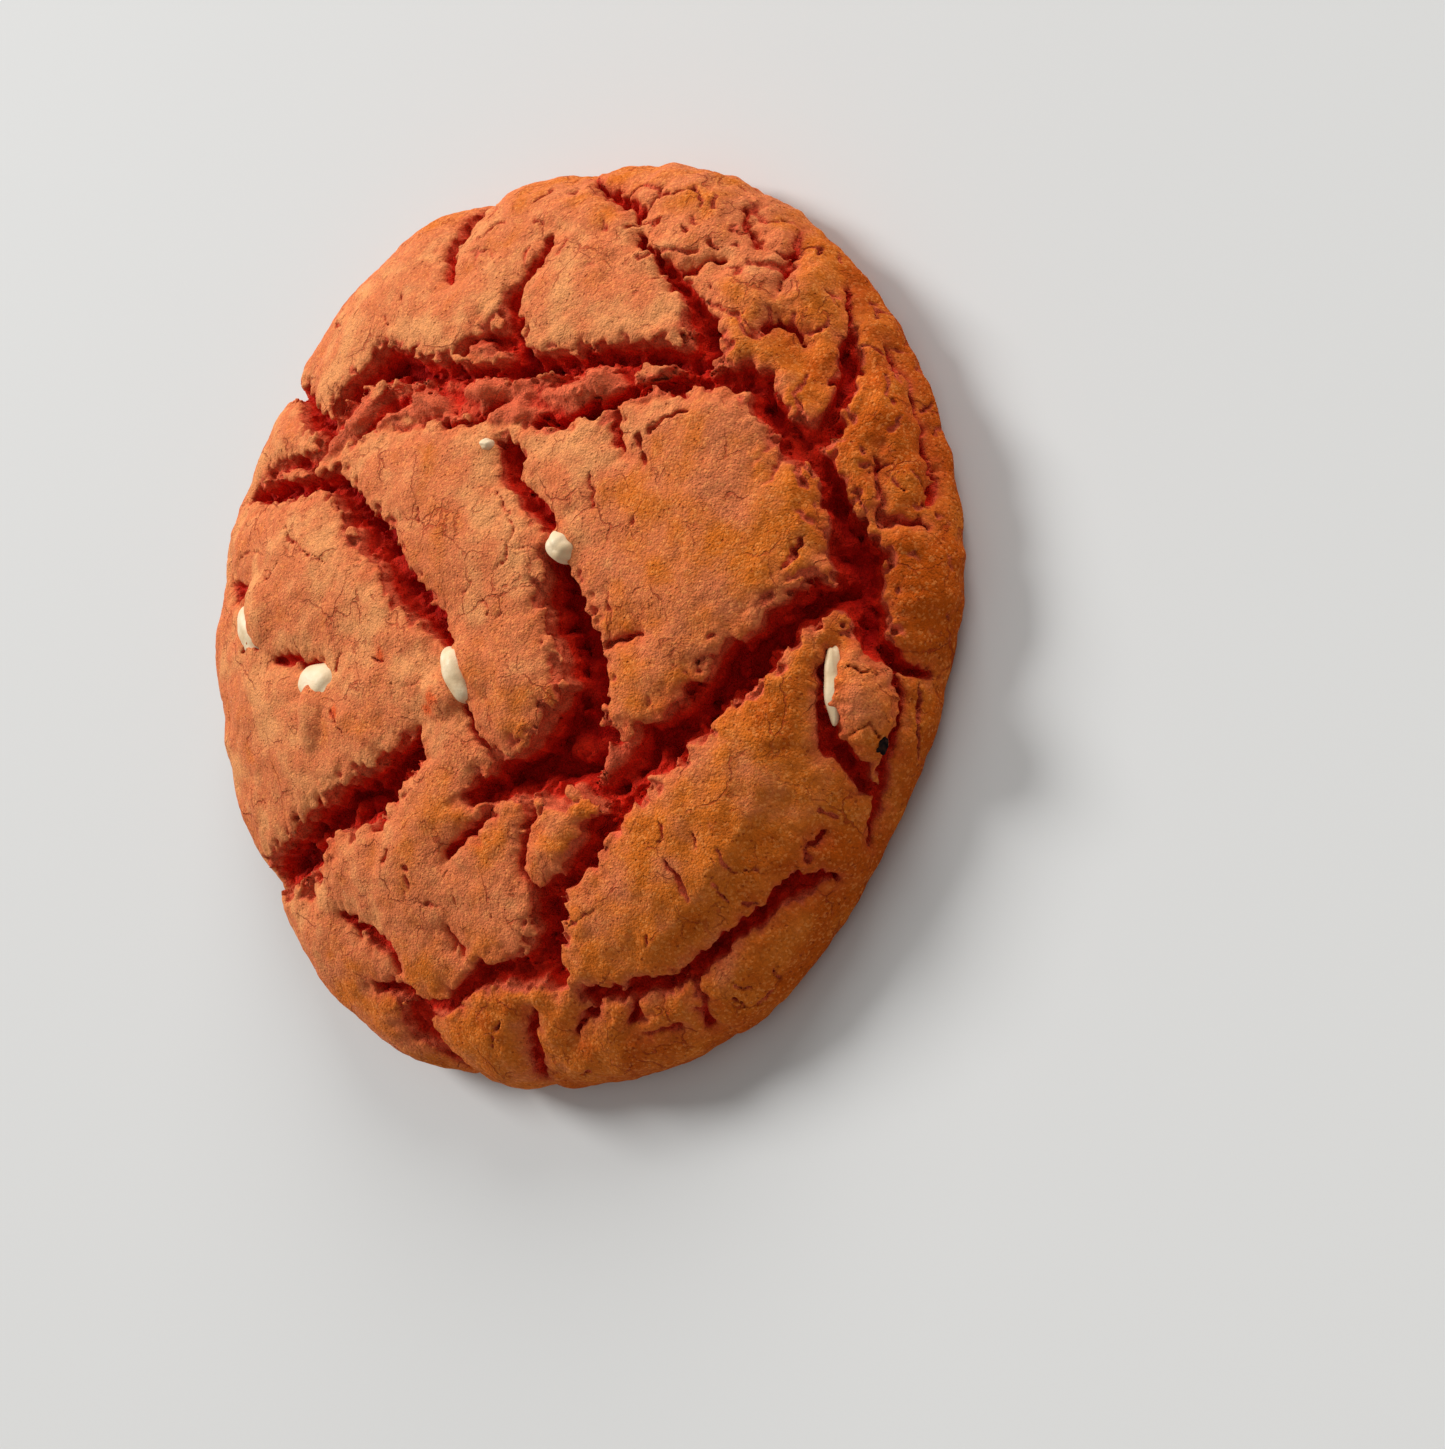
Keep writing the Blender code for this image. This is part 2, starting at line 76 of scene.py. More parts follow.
# Places on the cookie are given on its unrolled skin: u to the right and v up the picture, both in mm
# along the skin from the crown. Cracks in the crust: depth, then the route as (u, v, width), in mm.
CRACKS = (
    # canyon across the north of the face, with its two creases
    (3.6, ((-46, 37, 3), (-36, 33, 3), (-31, 28, 4), (-27, 26, 3))),
    (4.8, ((-25, 28, 2), (-21, 30, 3), (-17, 32, 4), (-13, 30.5, 4), (-3, 28.5, 2.5), (2, 28, 2.5),
           (7, 27.4, 3.4), (12, 26.4, 2.6), (18, 26, 2.8), (24, 25.4, 3), (31, 24.4, 3.4))),
    (2.0, ((18, 23.5, 3), (24, 22.8, 3), (31, 22.5, 3.4))),
    (1.9, ((-27, 23, 5), (-20, 26, 6), (-10, 25, 6), (0, 25, 6), (9, 22.5, 7), (21, 22.5, 7))),
    (3.8, ((-24, 24, 1.2), (-20, 23.2, 2), (-12, 26.5, 2.2))),
    (2.8, ((-3, 31.4, 2), (1, 31.2, 4.6), (5, 30.6, 4))),
    (3.6, ((-4, 22, 1), (0, 21.4, 1.2), (4, 24.2, 1.4))),
    (4.6, ((10, 20.5, 2), (13, 19, 2.2), (18, 20.5, 3), (28, 21.8, 4))),
    # west diagonal, from the left edge to the middle
    (4.2, ((-47, 21, 2), (-42, 20, 3), (-38, 19.5, 4), (-33, 19, 3.4), (-24, 18.5, 3), (-21, 15.5, 3.8),
           (-17, 11.5, 4.5), (-13, 8, 5), (-10, 4, 4.4), (-7, 0.5, 4.2), (-4, -1.5, 3), (-2.5, -4.5, 1.6))),
    (2.4, ((-41, 23, 2), (-36, 22.5, 3), (-29, 21.5, 2))),
    # cracks of the top edge
    (3.0, ((-8, 57, 4), (-8, 50, 3.6), (-9, 46, 2.4), (-7, 41.5, 1))),
    (4.2, ((8.5, 44, 1.6), (8, 42, 2), (6.5, 40, 1.6), (4.5, 36.5, 3), (5, 31.5, 3), (7, 28, 4))),
    (3.0, ((9.5, 57, 1), (13, 52, 1.2), (18, 47.5, 2.2), (20.5, 44.6, 1.3))),
    (3.6, ((20.5, 41.3, 1.4), (23, 38.5, 1.2), (26, 35.5, 1.6), (28.5, 32.5, 2), (31.3, 28, 3),
           (31, 24, 4.4))),
    (2.2, ((27.5, 35.2, 1), (32, 36.3, 1))),
    (2.1, ((33.6, 45, 1.0), (33.8, 42, 1.1), (36.5, 38, 1.2))),
    (1.7, ((40.6, 44, 0.8), (40.7, 41, 1.0), (40.3, 36.5, 1.2), (39.4, 32.5, 0.9))),
    (2.2, ((38.3, 27, 1.1), (41.5, 28.2, 1.2), (43, 25.5, 0.9))),
    # east arc, along the shoulder
    (3.6, ((47.5, 35, 0.9), (48.2, 29, 1.1), (48.5, 25, 2.8), (48, 22.5, 3), (46.8, 17.5, 2),
           (45.5, 15, 3), (43, 13.5, 5), (41, 15.5, 3.2), (37.5, 21, 3.2), (34, 21.5, 3), (30, 22, 3))),
    (4.2, ((44, 13, 3), (46, 10, 2.4), (47.5, 5, 3.4), (49.3, 1, 6), (50, -4, 6), (51.5, -9, 3.6),
           (55, -12, 2), (60, -13.4, 1.2))),
    (2.1, ((51.4, 12, 1.0), (51.7, 6.5, 0.9), (52.5, 4.3, 1.3), (57.5, 4.2, 0.9))),
    (2.1, ((52.5, 26.5, 1.1), (55.5, 22, 1.2), (58, 15, 1.1), (59.2, 10, 1.1), (58.5, 7, 0.9))),
    # central canyon
    (4.0, ((5.4, 18, 2), (6.5, 16, 3), (6.3, 14, 2.2), (8, 12, 2), (9.6, 10.5, 2.8), (11, 9, 2.2),
           (13, 7, 2.4))),
    (5.6, ((13.6, 3, 3.4), (14.2, -1, 4.8), (15.6, -4, 6.0), (17, -8, 6), (17.5, -12, 6), (16, -16, 8),
           (12, -19.5, 7.5), (6, -20.5, 5.2), (0.5, -22, 2.6))),
    (2.4, ((20.5, -6.8, 1.2), (24.6, -6.3, 0.9))),
    (2.8, ((4.5, -17.6, 1.2), (2.4, -15.4, 1.2), (0, -12, 1.3))),
    (3.0, ((3, -24.3, 1), (-2, -27.2, 1.8), (-4.5, -28.6, 1))),
    (2.4, ((21, 18.5, 1.3), (21.3, 16, 1.6), (22.2, 14.4, 1))),
    # south-east diagonal canyon and the branch that leaves it southwards
    (5.0, ((49, -3, 4), (43, -5, 5), (40, -7.5, 4.6), (36.5, -11, 5.8), (30, -16, 5.4), (26, -19.5, 6),
           (20, -20.5, 8), (15, -18, 8))),
    (3.8, ((23, -23, 3), (20, -25, 3), (17.5, -27, 3.4), (16, -29.5, 3), (13, -32, 2.2), (10, -33.5, 2.8),
           (9, -38, 4.6), (8.5, -41, 4), (8.3, -44, 3))),
    (2.8, ((8.5, -22.5, 1.8), (8.4, -25.5, 1.5), (7.4, -28, 1.6), (6.6, -31, 1.1), (8, -33.8, 2))),
    # dough hump in the east and the cracks around it
    (3.8, ((46.5, -10, 1.4), (46, -16, 1.6), (47, -20.5, 2.8), (49.5, -23.5, 3), (51, -26, 2))),
    (2.8, ((53.6, -10, 1.2), (54.3, -15, 1.2), (53.6, -21, 1.6), (52.4, -27, 2.2), (51, -33, 1.4))),
    # south arc, along the shoulder, and the cracks below it
    (3.8, ((12, -45.6, 2), (17, -45.6, 2.4), (22, -45, 2.2), (27, -43.4, 2.4), (32, -40.6, 2.4),
           (36, -38.2, 2.4), (40, -36.3, 3), (43.5, -35.6, 2.4), (46, -36.8, 1))),
    (2.2, ((42, -33.6, 1), (44.5, -29.8, 1))),
    (3.0, ((13.5, -45.8, 2.2), (12.4, -47.6, 1.7), (8.8, -51.2, 0.9))),
    (3.0, ((18.5, -45.6, 1.8), (18, -48.5, 2), (16.8, -50, 1.2))),
    (2.4, ((18, -51.4, 1.2), (22.6, -51.2, 1.2))),
    (2.6, ((26.1, -44.5, 1.2), (26.2, -49, 1.2), (26, -52, 2))),
    # south-west canyon
    (5.0, ((-7, -13.5, 1.2), (-8, -16, 3.2), (-12, -18, 4.8), (-16, -21.2, 6.2), (-21, -22, 5.6),
           (-26, -24.5, 5.2), (-31, -27, 7), (-37, -29.5, 5), (-46, -31.5, 4.4))),
    (2.6, ((-30, -29, 3), (-32, -32, 3))),
    # cracks of the lower left
    (3.2, ((-25, -34.5, 1.4), (-20, -36.5, 2.2), (-17.5, -38, 2.6), (-15.5, -41, 1.6))),
    (3.4, ((-21.5, -43.5, 1.8), (-17, -44, 2.8), (-13.5, -46.5, 3.4), (-9, -46.5, 2), (-6, -45, 2),
           (-3, -43.4, 3), (2, -42.8, 3.2), (8, -42.2, 4))),
    (2.6, ((-16, -49, 6), (-14, -54, 4), (-13, -60, 2.4))),
    (2.2, ((-6.2, -37, 0.9), (-4.6, -40.2, 1.2))),
    (3.0, ((3.4, -47.6, 1.1), (3, -49.5, 1.4), (2.3, -52, 2.2), (0.8, -56, 2.2), (-1, -60, 1.2))),
    (2.2, ((-34, -3, 1.4), (-31, -3.3, 1.7), (-24.5, -4.6, 1))),
    (2.0, ((-50, 9.5, 2.4), (-45, 7, 2.6), (-41.5, 7, 1.2))),
)

# Hairline cracks and torn specks on the plates, in the same form.
HAIRLINES = (
    (0.7, ((-32, 13.2, 0.4), (-29, 11, 0.5), (-25.5, 8.6, 0.4), (-23, 7.6, 0.3))),
    (1.2, ((-42, -1, 0.6), (-39, -0.8, 1.1), (-36.5, -1.4, 0.5))),
    (0.9, ((-14.2, -5.1, 0.9), (-12.4, -5.6, 0.5))),
    (0.6, ((-21.2, -5.8, 0.4), (-19.8, -3.9, 0.5))),
    (0.8, ((-22.4, -10.8, 0.8), (-21.3, -11.9, 0.5), (-19.9, -13.4, 0.4))),
    (0.4, ((-11, -9, 0.3), (-5, -8.4, 0.3))),
    (0.5, ((-45, 11.6, 0.5), (-38, 11.4, 0.4))),
    (0.5, ((-35.5, 6.6, 0.4), (-31.5, 8.8, 0.4))),
    (0.6, ((5, 12, 0.3), (7, 9.4, 0.3), (8, 7, 0.4), (7.8, 4.6, 0.5), (5.8, 3, 0.3))),
    (0.5, ((8, 5.2, 0.4), (10.6, 4.6, 0.3))),
    (0.5, ((0.4, 1.2, 0.5), (2.2, 1.6, 0.3))),
    (0.6, ((-6.7, 13.2, 0.3), (-6.3, 10.8, 0.5), (-6.1, 9.8, 0.3))),
    (0.5, ((3.4, 0.8, 0.3), (5.4, -2.4, 0.3), (7, -2, 0.3))),
    (0.6, ((20.2, 0, 0.3), (20.8, -3, 0.4), (21.8, -4.6, 0.4))),
    (1.0, ((18.5, 12.2, 0.4), (18.7, 9.6, 0.8), (18.9, 8.2, 0.6))),
    (0.6, ((24.1, 8.2, 0.3), (24.3, 6.5, 0.4), (23.1, 5.1, 0.4))),
    (1.0, ((32.9, -7.4, 0.8), (33.8, -7.2, 0.6))),
    (0.4, ((26.6, -9.7, 0.3), (29.4, -9.8, 0.3))),
    (0.4, ((26.4, -10, 0.3), (26.2, -13.4, 0.3))),
    (1.4, ((24.5, 15.8, 1.1), (25, 13.6, 0.7), (25, 12.2, 0.4))),
    (1.4, ((25.8, 16, 0.8), (28, 17.2, 0.9), (30.6, 17.4, 0.6))),
    (0.9, ((26.3, -26.8, 0.5), (26, -28, 0.4), (25.4, -29.2, 0.4))),
    (1.1, ((26.5, -30.6, 0.5), (27, -32.8, 0.8), (28.4, -35.2, 0.8))),
    (0.8, ((31.6, -33.4, 0.5), (31.7, -35, 0.5), (32.3, -36.4, 0.5))),
    (0.8, ((32.5, -30.4, 0.4), (33.1, -32.4, 0.6), (34.6, -33.1, 0.3), (36.4, -33, 0.4))),
    (0.9, ((30, -28.3, 0.7), (30.5, -29.5, 0.4))),
    (0.6, ((11.8, -37.2, 0.4), (14.6, -36.2, 0.5), (16, -35.2, 0.3))),
    (0.9, ((22, -39.6, 0.6), (22.3, -38.8, 0.4))),
    (1.0, ((34.2, -36.9, 0.5), (35.2, -36.6, 0.9))),
    (0.5, ((38, -21, 0.3), (39.4, -22, 0.3))),
    (1.0, ((-12.6, -27, 0.8), (-13.6, -28.4, 0.4))),
    (1.0, ((-10.7, -29.1, 0.9), (-10.2, -29.3, 0.8))),
    (1.1, ((-10.5, -30.2, 0.8), (-10, -31.4, 0.6))),
    (0.7, ((-9.6, -33.4, 0.4), (-8, -33.6, 0.5), (-6.4, -34.2, 0.5))),
    (0.6, ((-11.2, -31.4, 0.4), (-10.9, -33, 0.3))),
    (0.5, ((-5.2, -31.4, 0.4), (-3.8, -30.3, 0.3))),
    (0.5, ((-4.3, -32.2, 0.3), (-3.2, -34.9, 0.4))),
    (0.6, ((1.6, -35.4, 0.4), (1.9, -36.7, 0.3))),
    (0.8, ((-1.1, -48.7, 0.5), (-1.9, -49.8, 0.5))),
    (0.9, ((-2.6, -50.2, 0.6), (-3.3, -51.8, 0.7))),
    (0.8, ((30.8, -46.2, 0.5), (32.2, -47.2, 0.4))),
    (0.9, ((30.2, -47.8, 0.7), (31, -49.5, 0.6))),
    (0.7, ((35.8, -45, 0.4), (36.1, -47, 0.6), (35.4, -48.2, 0.3))),
    (0.7, ((33, -49.7, 0.4), (34.8, -48.4, 0.4))),
    (0.8, ((7.1, -57, 0.8), (8.7, -56.1, 0.7))),
    (0.6, ((-14.4, 40, 0.4), (-13.6, 38, 0.4))),
    (0.6, ((-17.4, 38, 0.4), (-16, 36.8, 0.4))),
    (0.6, ((-29.6, 41, 0.4), (-27.4, 39.6, 0.4))),
    (0.9, ((22.6, 46.6, 0.7), (27, 46.5, 0.7), (28.5, 44, 0.5))),
    (1.0, ((26.6, 41.8, 0.6), (27.3, 40.2, 0.7))),
    (1.4, ((30.4, 38.6, 1), (31.4, 38.1, 1.1))),
    (1.4, ((22.9, 42.5, 1.2), (23.9, 42.9, 0.8))),
    (0.8, ((30.8, 31.2, 0.7), (33.6, 29.7, 0.4))),
    (1.1, ((34.4, 25.1, 1), (35.2, 25, 0.7))),
    (0.6, ((35.4, 28.6, 0.3), (37.4, 26.7, 0.4), (38.1, 25.2, 0.3))),
    (0.8, ((45.3, 31.6, 0.5), (46.3, 30.9, 0.5))),
    (0.8, ((50, 26.3, 0.6), (52.2, 24.8, 0.4))),
    (0.8, ((52.6, 22, 0.5), (52.1, 19.4, 0.4), (53.4, 17.8, 0.6))),
    (1.1, ((49.7, 12.7, 0.9), (50, 11.9, 0.7))),
    (0.9, ((48.8, 8.4, 0.5), (50.3, 5.4, 0.6))),
    (0.8, ((53.2, 9.2, 0.6), (54.2, 7.6, 0.6))),
    (1.5, ((42.2, 1.4, 1.2), (43.4, 2.8, 0.9))),
    (1.4, ((41.4, -0.4, 0.8), (42.8, 0.8, 1.0))),
    (1.2, ((42.6, 10.4, 1.2), (43.6, 8.6, 0.9))),
    (1.2, ((57.2, -14, 0.8), (57, -18, 0.8), (57.1, -23, 0.7))),
    (1.0, ((48.6, -11.6, 0.4), (51.4, -12.4, 0.4), (53, -12, 0.3))),
    (0.8, ((48.4, -19, 0.4), (50.6, -17.6, 0.5), (51.6, -19.2, 0.4))),
    (0.8, ((45, -27, 0.7), (46.6, -28.6, 0.7))),
    (0.8, ((50.8, -7, 0.8), (49, -6.2, 0.6))),
    (0.8, ((60, -5.8, 0.6), (60.6, -6.6, 0.5))),
)

# Mounds of dough: (u, v, half length, half width, turn in degrees, height in mm).
MOUNDS = (
    (-22, 24, 8.5, 2.2, 38, 2.2),
    (1.5, 30.2, 3.6, 1.6, -14, 1.8),
    (6, 22, 4.2, 2.4, 20, 1.2),
    (13.5, 22.6, 3.2, 1.6, 0, 1.1),
    (50.4, -15.0, 7.6, 4.0, 97, 2.1),
    (20.5, -19.5, 4.6, 2.6, 35, 3.0),
    (-23.5, -26, 3.6, 1.5, 12, 1.6),
    (-19, -41.2, 2.8, 1.0, 0, 0.8),
    (-10, 24.4, 6.5, 1.9, 6, 1.5),
    (2.5, 25.4, 5.5, 1.5, -6, 1.4),
    (17, 22.6, 5.0, 1.8, 2, 1.3),
    (24.5, 19.8, 3.6, 1.8, 4, 3.2),
    (-34, 20.8, 4.0, 1.2, -8, 1.4),
    (25.5, 23.0, 3.6, 1.5, -8, 1.2),
    (29, -14.2, 5.5, 1.8, 34, 2.6),
    (39.5, -5.6, 4.5, 1.4, 24, 1.3),
    (16.5, -10.5, 3.4, 1.4, 80, 1.3),
    (-31.5, -26.2, 3.2, 1.5, 20, 1.5),
)

# Dough that covers a part of a chip, in the same form.
FLAPS = (
    (-37.2, 3.8, 5.2, 3.9, -44, 1.05),
    (-26.2, -10.6, 5.0, 2.3, 84, 1.05),
    (-3.4, -10.4, 3.2, 2.2, -50, 0.85),
    (1.8, -6.8, 4.6, 2.1, -62, 0.85),
)

# Steps of the shoulder: (radius in mm, from and to in degrees, drop in mm).
SHOULDER_STEPS = ((46.5, -58.0, -34.0, 1.1), (47.0, -12.0, 36.0, 1.1))

# Spots where raw red dough has baked through: (u, v, radius in mm).
RED_SPOTS = ((-45.9, 6.9, 1.3), (-3.9, -10.6, 1.3), (-5.4, -11.6, 0.9), (-21.7, -10.9, 0.8),
             (-12.9, -4.9, 0.8), (13.2, 7.4, 1.3), (-43.6, 4.6, 0.7))

FLECK = (51.9, -20.3)  # charred fleck on the skin
FLECK_SIZE = (1.9, 1.1, 0.9)  # mm

# White chocolate that shows: (u, v, length, width, thickness, turn in degrees, sink in mm).
CHIPS = (
    (-40.4, 1.6, 8.8, 5.2, 3.4, -48.0, 1.15),
    (-26.0, -7.3, 9.0, 5.8, 3.4, 5.0, 1.35),
    (-0.8, -8.2, 6.8, 4.0, 3.4, -62.0, 0.95),
    (14.3, 4.6, 4.2, 3.4, 3.4, -50.0, 0.7),
    (3.3, 18.2, 2.0, 1.5, 1.8, -20.0, 0.5),
    (47.2, -13.4, 8.0, 2.3, 3.0, 86.0, 0.8),
)

CAMERA_PLACE = (182.1, -46.5, 216.8)  # mm
CAMERA_BACK = (0.590, -0.122, 0.798)
CAMERA_UP = (0.082, 0.992, 0.091)
SENSOR = 36.0  # mm
FOCAL_LENGTH = SENSOR * 2390.0 / 1449.0     # mm, from a focal length of 2390 pixels in a frame of 1449

# Soft lights: name, the way to them, strength and softness in degrees.
LIGHTS = (("key", (-0.71, 0.40, 0.52), 2.7, 20.0), ("above", (0.18, 0.90, 0.36), 2.0, 34.0))
WORLD_COLOUR = (1.0, 0.99, 0.97, 1.0)
WORLD_STRENGTH = 0.33
FLOOR_COLOUR = (0.66, 0.66, 0.65, 1.0)
FLOOR_SIZE = 6.0  # metres
FLOOR_GAP = 0.0002  # metres under the cookie


def smooth_step(low, high, value):
    part = np.clip((value - low) / (high - low), 0.0, 1.0)
    return part * part * (3 - 2 * part)


def mixed(xi, yi, seed):
    """A number from 0 to 1 for each lattice corner."""
    h = (xi * 374761393 + yi * 668265263 + seed * 974711) & 0xFFFFFFFF
    h = ((h ^ (h >> 13)) * 1274126177) & 0xFFFFFFFF
    return (h ^ (h >> 16)) / 4294967296.0


def noise(x, y, seed):
    """Smooth gradient noise, about -1 to 1, one cell a unit."""
    xi = np.floor(x).astype(np.int64)
    yi = np.floor(y).astype(np.int64)
    xf = x - xi
    yf = y - yi
    fade_x = xf ** 3 * (xf * (xf * 6 - 15) + 10)
    fade_y = yf ** 3 * (yf * (yf * 6 - 15) + 10)

    def corner(dx, dy):
        angle = mixed(xi + dx, yi + dy, seed) * 2 * math.pi
        return np.cos(angle) * (xf - dx) + np.sin(angle) * (yf - dy)

    low = corner(0, 0) + fade_x * (corner(1, 0) - corner(0, 0))
    high = corner(0, 1) + fade_x * (corner(1, 1) - corner(0, 1))
    return 1.45 * (low + fade_y * (high - low))


def half_profile():
    """Radius, height and length along the skin of the dome's profile, from the crown to the underside."""
    turn = np.linspace(0.0, math.pi / 2, 900)
    power = 2.0 / DOME_POWER
    radius = EDGE_RADIUS * np.sin(turn) ** power
    height = WIDEST_HEIGHT + (CROWN_HEIGHT - WIDEST_HEIGHT) * np.cos(turn) ** power
    foot = np.linspace(0.0, math.pi / 2, 90)[1:]
    radius = np.concatenate((radius, EDGE_RADIUS - FOOT_INSET * (1 - np.cos(foot))))
    height = np.concatenate((height, WIDEST_HEIGHT * (1 - np.sin(foot))))
    step = np.hypot(np.diff(radius), np.diff(height))
    return radius, height, np.concatenate(((0.0,), np.cumsum(step)))


PROFILE_R, PROFILE_Z, PROFILE_S = half_profile()
SKIN = PROFILE_S[-1]


def lobed(angle):
    """Factor by which the outline is wider than a circle."""
    factor = np.ones_like(angle)
    for waves, size, phase in LOBES:
        factor += size / EDGE_RADIUS * np.cos(waves * angle - math.radians(phase))
    return factor


def on_dome(arc, angle):
    """Point of the smooth dome and its outward normal, in mm."""
    radius = np.interp(arc, PROFILE_S, PROFILE_R)
    height = np.interp(arc, PROFILE_S, PROFILE_Z)
    past = np.clip(arc - SKIN, 0.0, None)
    radius = radius - past
    height = height + 0.25 * past
    ahead = np.clip(arc + 0.4, 0, SKIN)
    behind = np.clip(arc - 0.4, 0, SKIN - 0.2)
    slope_r = np.interp(ahead, PROFILE_S, PROFILE_R) - np.interp(behind, PROFILE_S, PROFILE_R)
    slope_z = np.interp(ahead, PROFILE_S, PROFILE_Z) - np.interp(behind, PROFILE_S, PROFILE_Z)
    size = np.hypot(slope_r, slope_z)
    reach = radius * lobed(angle)
    point = np.stack((MIDDLE[0] + reach * np.cos(angle), MIDDLE[1] + reach * np.sin(angle), height), -1)
    out = -slope_z / size
    normal = np.stack((out * np.cos(angle), out * np.sin(angle), slope_r / size), -1)
    return point, normal


# Fields on the unrolled skin.
half = int(math.ceil((SKIN + SKIN_MARGIN) / GRID))
line = np.arange(-half, half + 1) * GRID
U, V = np.meshgrid(line, line)
ARC = np.hypot(U, V)
ANGLE = np.arctan2(V, U)


def jagged(axis, seed, middle, fine, finest):
    """A skin coordinate that wanders, so that what is drawn with it looks torn."""
    return (axis + 0.55 * noise(U / 3.1, V / 3.1, seed) + middle * noise(U / 1.5, V / 1.5, seed + 20)
            + fine * noise(U / 0.8, V / 0.8, seed + 30) + finest * noise(U / 0.45, V / 0.45, seed + 40))


JAGGED_U = jagged(U, 1, 0.62, 0.38, 0.16)
JAGGED_V = jagged(V, 2, 0.62, 0.38, 0.16)
THIN_U = jagged(U, 1, 0.30, 0.30, 0.16)
THIN_V = jagged(V, 2, 0.30, 0.30, 0.16)

# Factors by which a wide crack and a hairline vary in width along their way.
BREADTH = 1 + 0.30 * noise(U / 2.4, V / 2.4, 17)
THIN_BREADTH = 0.72 + 0.45 * noise(U / 1.2, V / 1.2, 16)


def carve(routes, place_u, place_v, breadth, slim, wall, power, base, gain):
    """The deepest cut, and the largest distance inside a crack, at each point of the skin."""
    cut = np.zeros_like(U)
    near = np.full_like(U, -FAR)
    for depth, route in routes:
        for (au, av, aw), (bu, bv, bw) in zip(route[:-1], route[1:]):
            c0, c1 = np.searchsorted(line, (min(au, bu) - CRACK_MARGIN, max(au, bu) + CRACK_MARGIN))
            r0, r1 = np.searchsorted(line, (min(av, bv) - CRACK_MARGIN, max(av, bv) + CRACK_MARGIN))
            part_u = place_u[r0:r1, c0:c1]
            part_v = place_v[r0:r1, c0:c1]
            du = bu - au
            dv = bv - av
            t = np.clip(((part_u - au) * du + (part_v - av) * dv) / (du * du + dv * dv), 0.0, 1.0)
            away = np.hypot(part_u - au - t * du, part_v - av - t * dv)
            south = smooth_step(0.1, 0.9, (av + t * dv - part_v) / np.maximum(away, 1e-6))
            half_width = 0.5 * (aw + t * (bw - aw)) * breadth[r0:r1, c0:c1] - slim
            half_width = np.maximum(half_width, 0.05)
            inside = half_width - away
            bank = wall * (1 + 1.7 * south * np.clip(half_width - 1.0, 0.0, 1.0))
            floor = depth * np.minimum(1.0, base + gain * half_width)
            fall = np.clip(inside / np.minimum(half_width, bank), 0.0, 1.0) ** power
            cut[r0:r1, c0:c1] = np.maximum(cut[r0:r1, c0:c1], floor * fall)
            near[r0:r1, c0:c1] = np.maximum(near[r0:r1, c0:c1], inside)
    return cut, near


def blurred(field, size):
    """The field averaged over a soft spot of the given size in mm."""
    tall = np.fft.fftfreq(field.shape[0], GRID)
    wide = np.fft.fftfreq(field.shape[1], GRID)
    keep = np.exp(-2 * (math.pi * size) ** 2 * (tall[:, None] ** 2 + wide[None, :] ** 2))
    return np.fft.ifft2(np.fft.fft2(field) * keep).real


def oval(place_u, place_v, mid_u, mid_v, length, width, turn):
    """1 in the middle of a turned oval, falling to 0 at its rim."""
    c = math.cos(math.radians(turn))
    s = math.sin(math.radians(turn))
    du = place_u - mid_u
    dv = place_v - mid_v
    along = (du * c + dv * s) / length
    across = (dv * c - du * s) / width
    return np.clip(1.0 - along * along - across * across, 0.0, 1.0)


CUT, NEAR = carve(CRACKS, JAGGED_U, JAGGED_V, BREADTH, 0.12, CRACK_WALL, 0.7, 0.45, 0.3)
HAIR_CUT = carve(HAIRLINES, THIN_U, THIN_V, THIN_BREADTH, 0.0, 0.5, 0.8, 1.0, 0.0)[0]
OUTSIDE = np.minimum(NEAR, 0.0)

# The way towards the middle of the nearest crack.
near_v, near_u = np.gradient(NEAR, GRID)
steep = np.maximum(np.hypot(near_u, near_v), 1e-3)
INTO_U = near_u / steep
INTO_V = near_v / steep

# Height of the plates over the dome, without the large cracks.
PLATE = 0.55 * noise(U / 13.0, V / 13.0, 7) + 0.2 * noise(U / 5.0, V / 5.0, 8)
PLATE -= LIP_DROP * np.exp(OUTSIDE / LIP_REACH)
PLATE -= PILLOW * np.exp(OUTSIDE / PILLOW_REACH)

# Where the wide canyons are, the floor inside a crack, and the ledges of broken crust beside a canyon.
WIDE = smooth_step(0.45, 1.1, blurred(np.maximum(CUT, 0.0), 2.2))
INSIDE = smooth_step(0.15, 0.9, NEAR) * (1 - np.exp(-(((U - 50) / 6) ** 4 + ((V + 15) / 9) ** 4)))
LEDGE = smooth_step(0.12, 0.34, noise(U / 2.1, V / 2.1, 18) + 0.35 * noise(U / 0.8, V / 0.8, 19))
LEDGE *= WIDE * smooth_step(-2.4, -0.1, NEAR)
CUT = np.maximum(CUT, (0.85 + 0.4 * noise(U / 1.7, V / 1.7, 20)) * LEDGE)

# Mounds fill the cracks up to the plates at most, apart from the hump.
for mid_u, mid_v, length, width, turn, tall in MOUNDS:
    share = oval(0.5 * (U + JAGGED_U), 0.5 * (V + JAGGED_V), mid_u, mid_v, length, width, turn)
    if mid_u > HUMP_FROM:
        CUT -= tall * share ** 0.9
    else:
        CUT = np.maximum(CUT - tall * share ** 0.6, np.minimum(CUT, 0.0))
degrees = np.degrees(ANGLE)
for radius, start, end, drop in SHOULDER_STEPS:
    span = smooth_step(start - 6, start + 6, degrees) * (1 - smooth_step(end - 6, end + 6, degrees))
    span = span * smooth_step(radius - 1, radius + 1, ARC)
    PLATE -= drop * span * np.exp(-np.clip(ARC - radius, 0, None) / 7.0)
PLATE += 0.20 * noise(U / 3.4, V / 3.4, 10) + 0.09 * noise(U / 1.9, V / 1.9, 11)

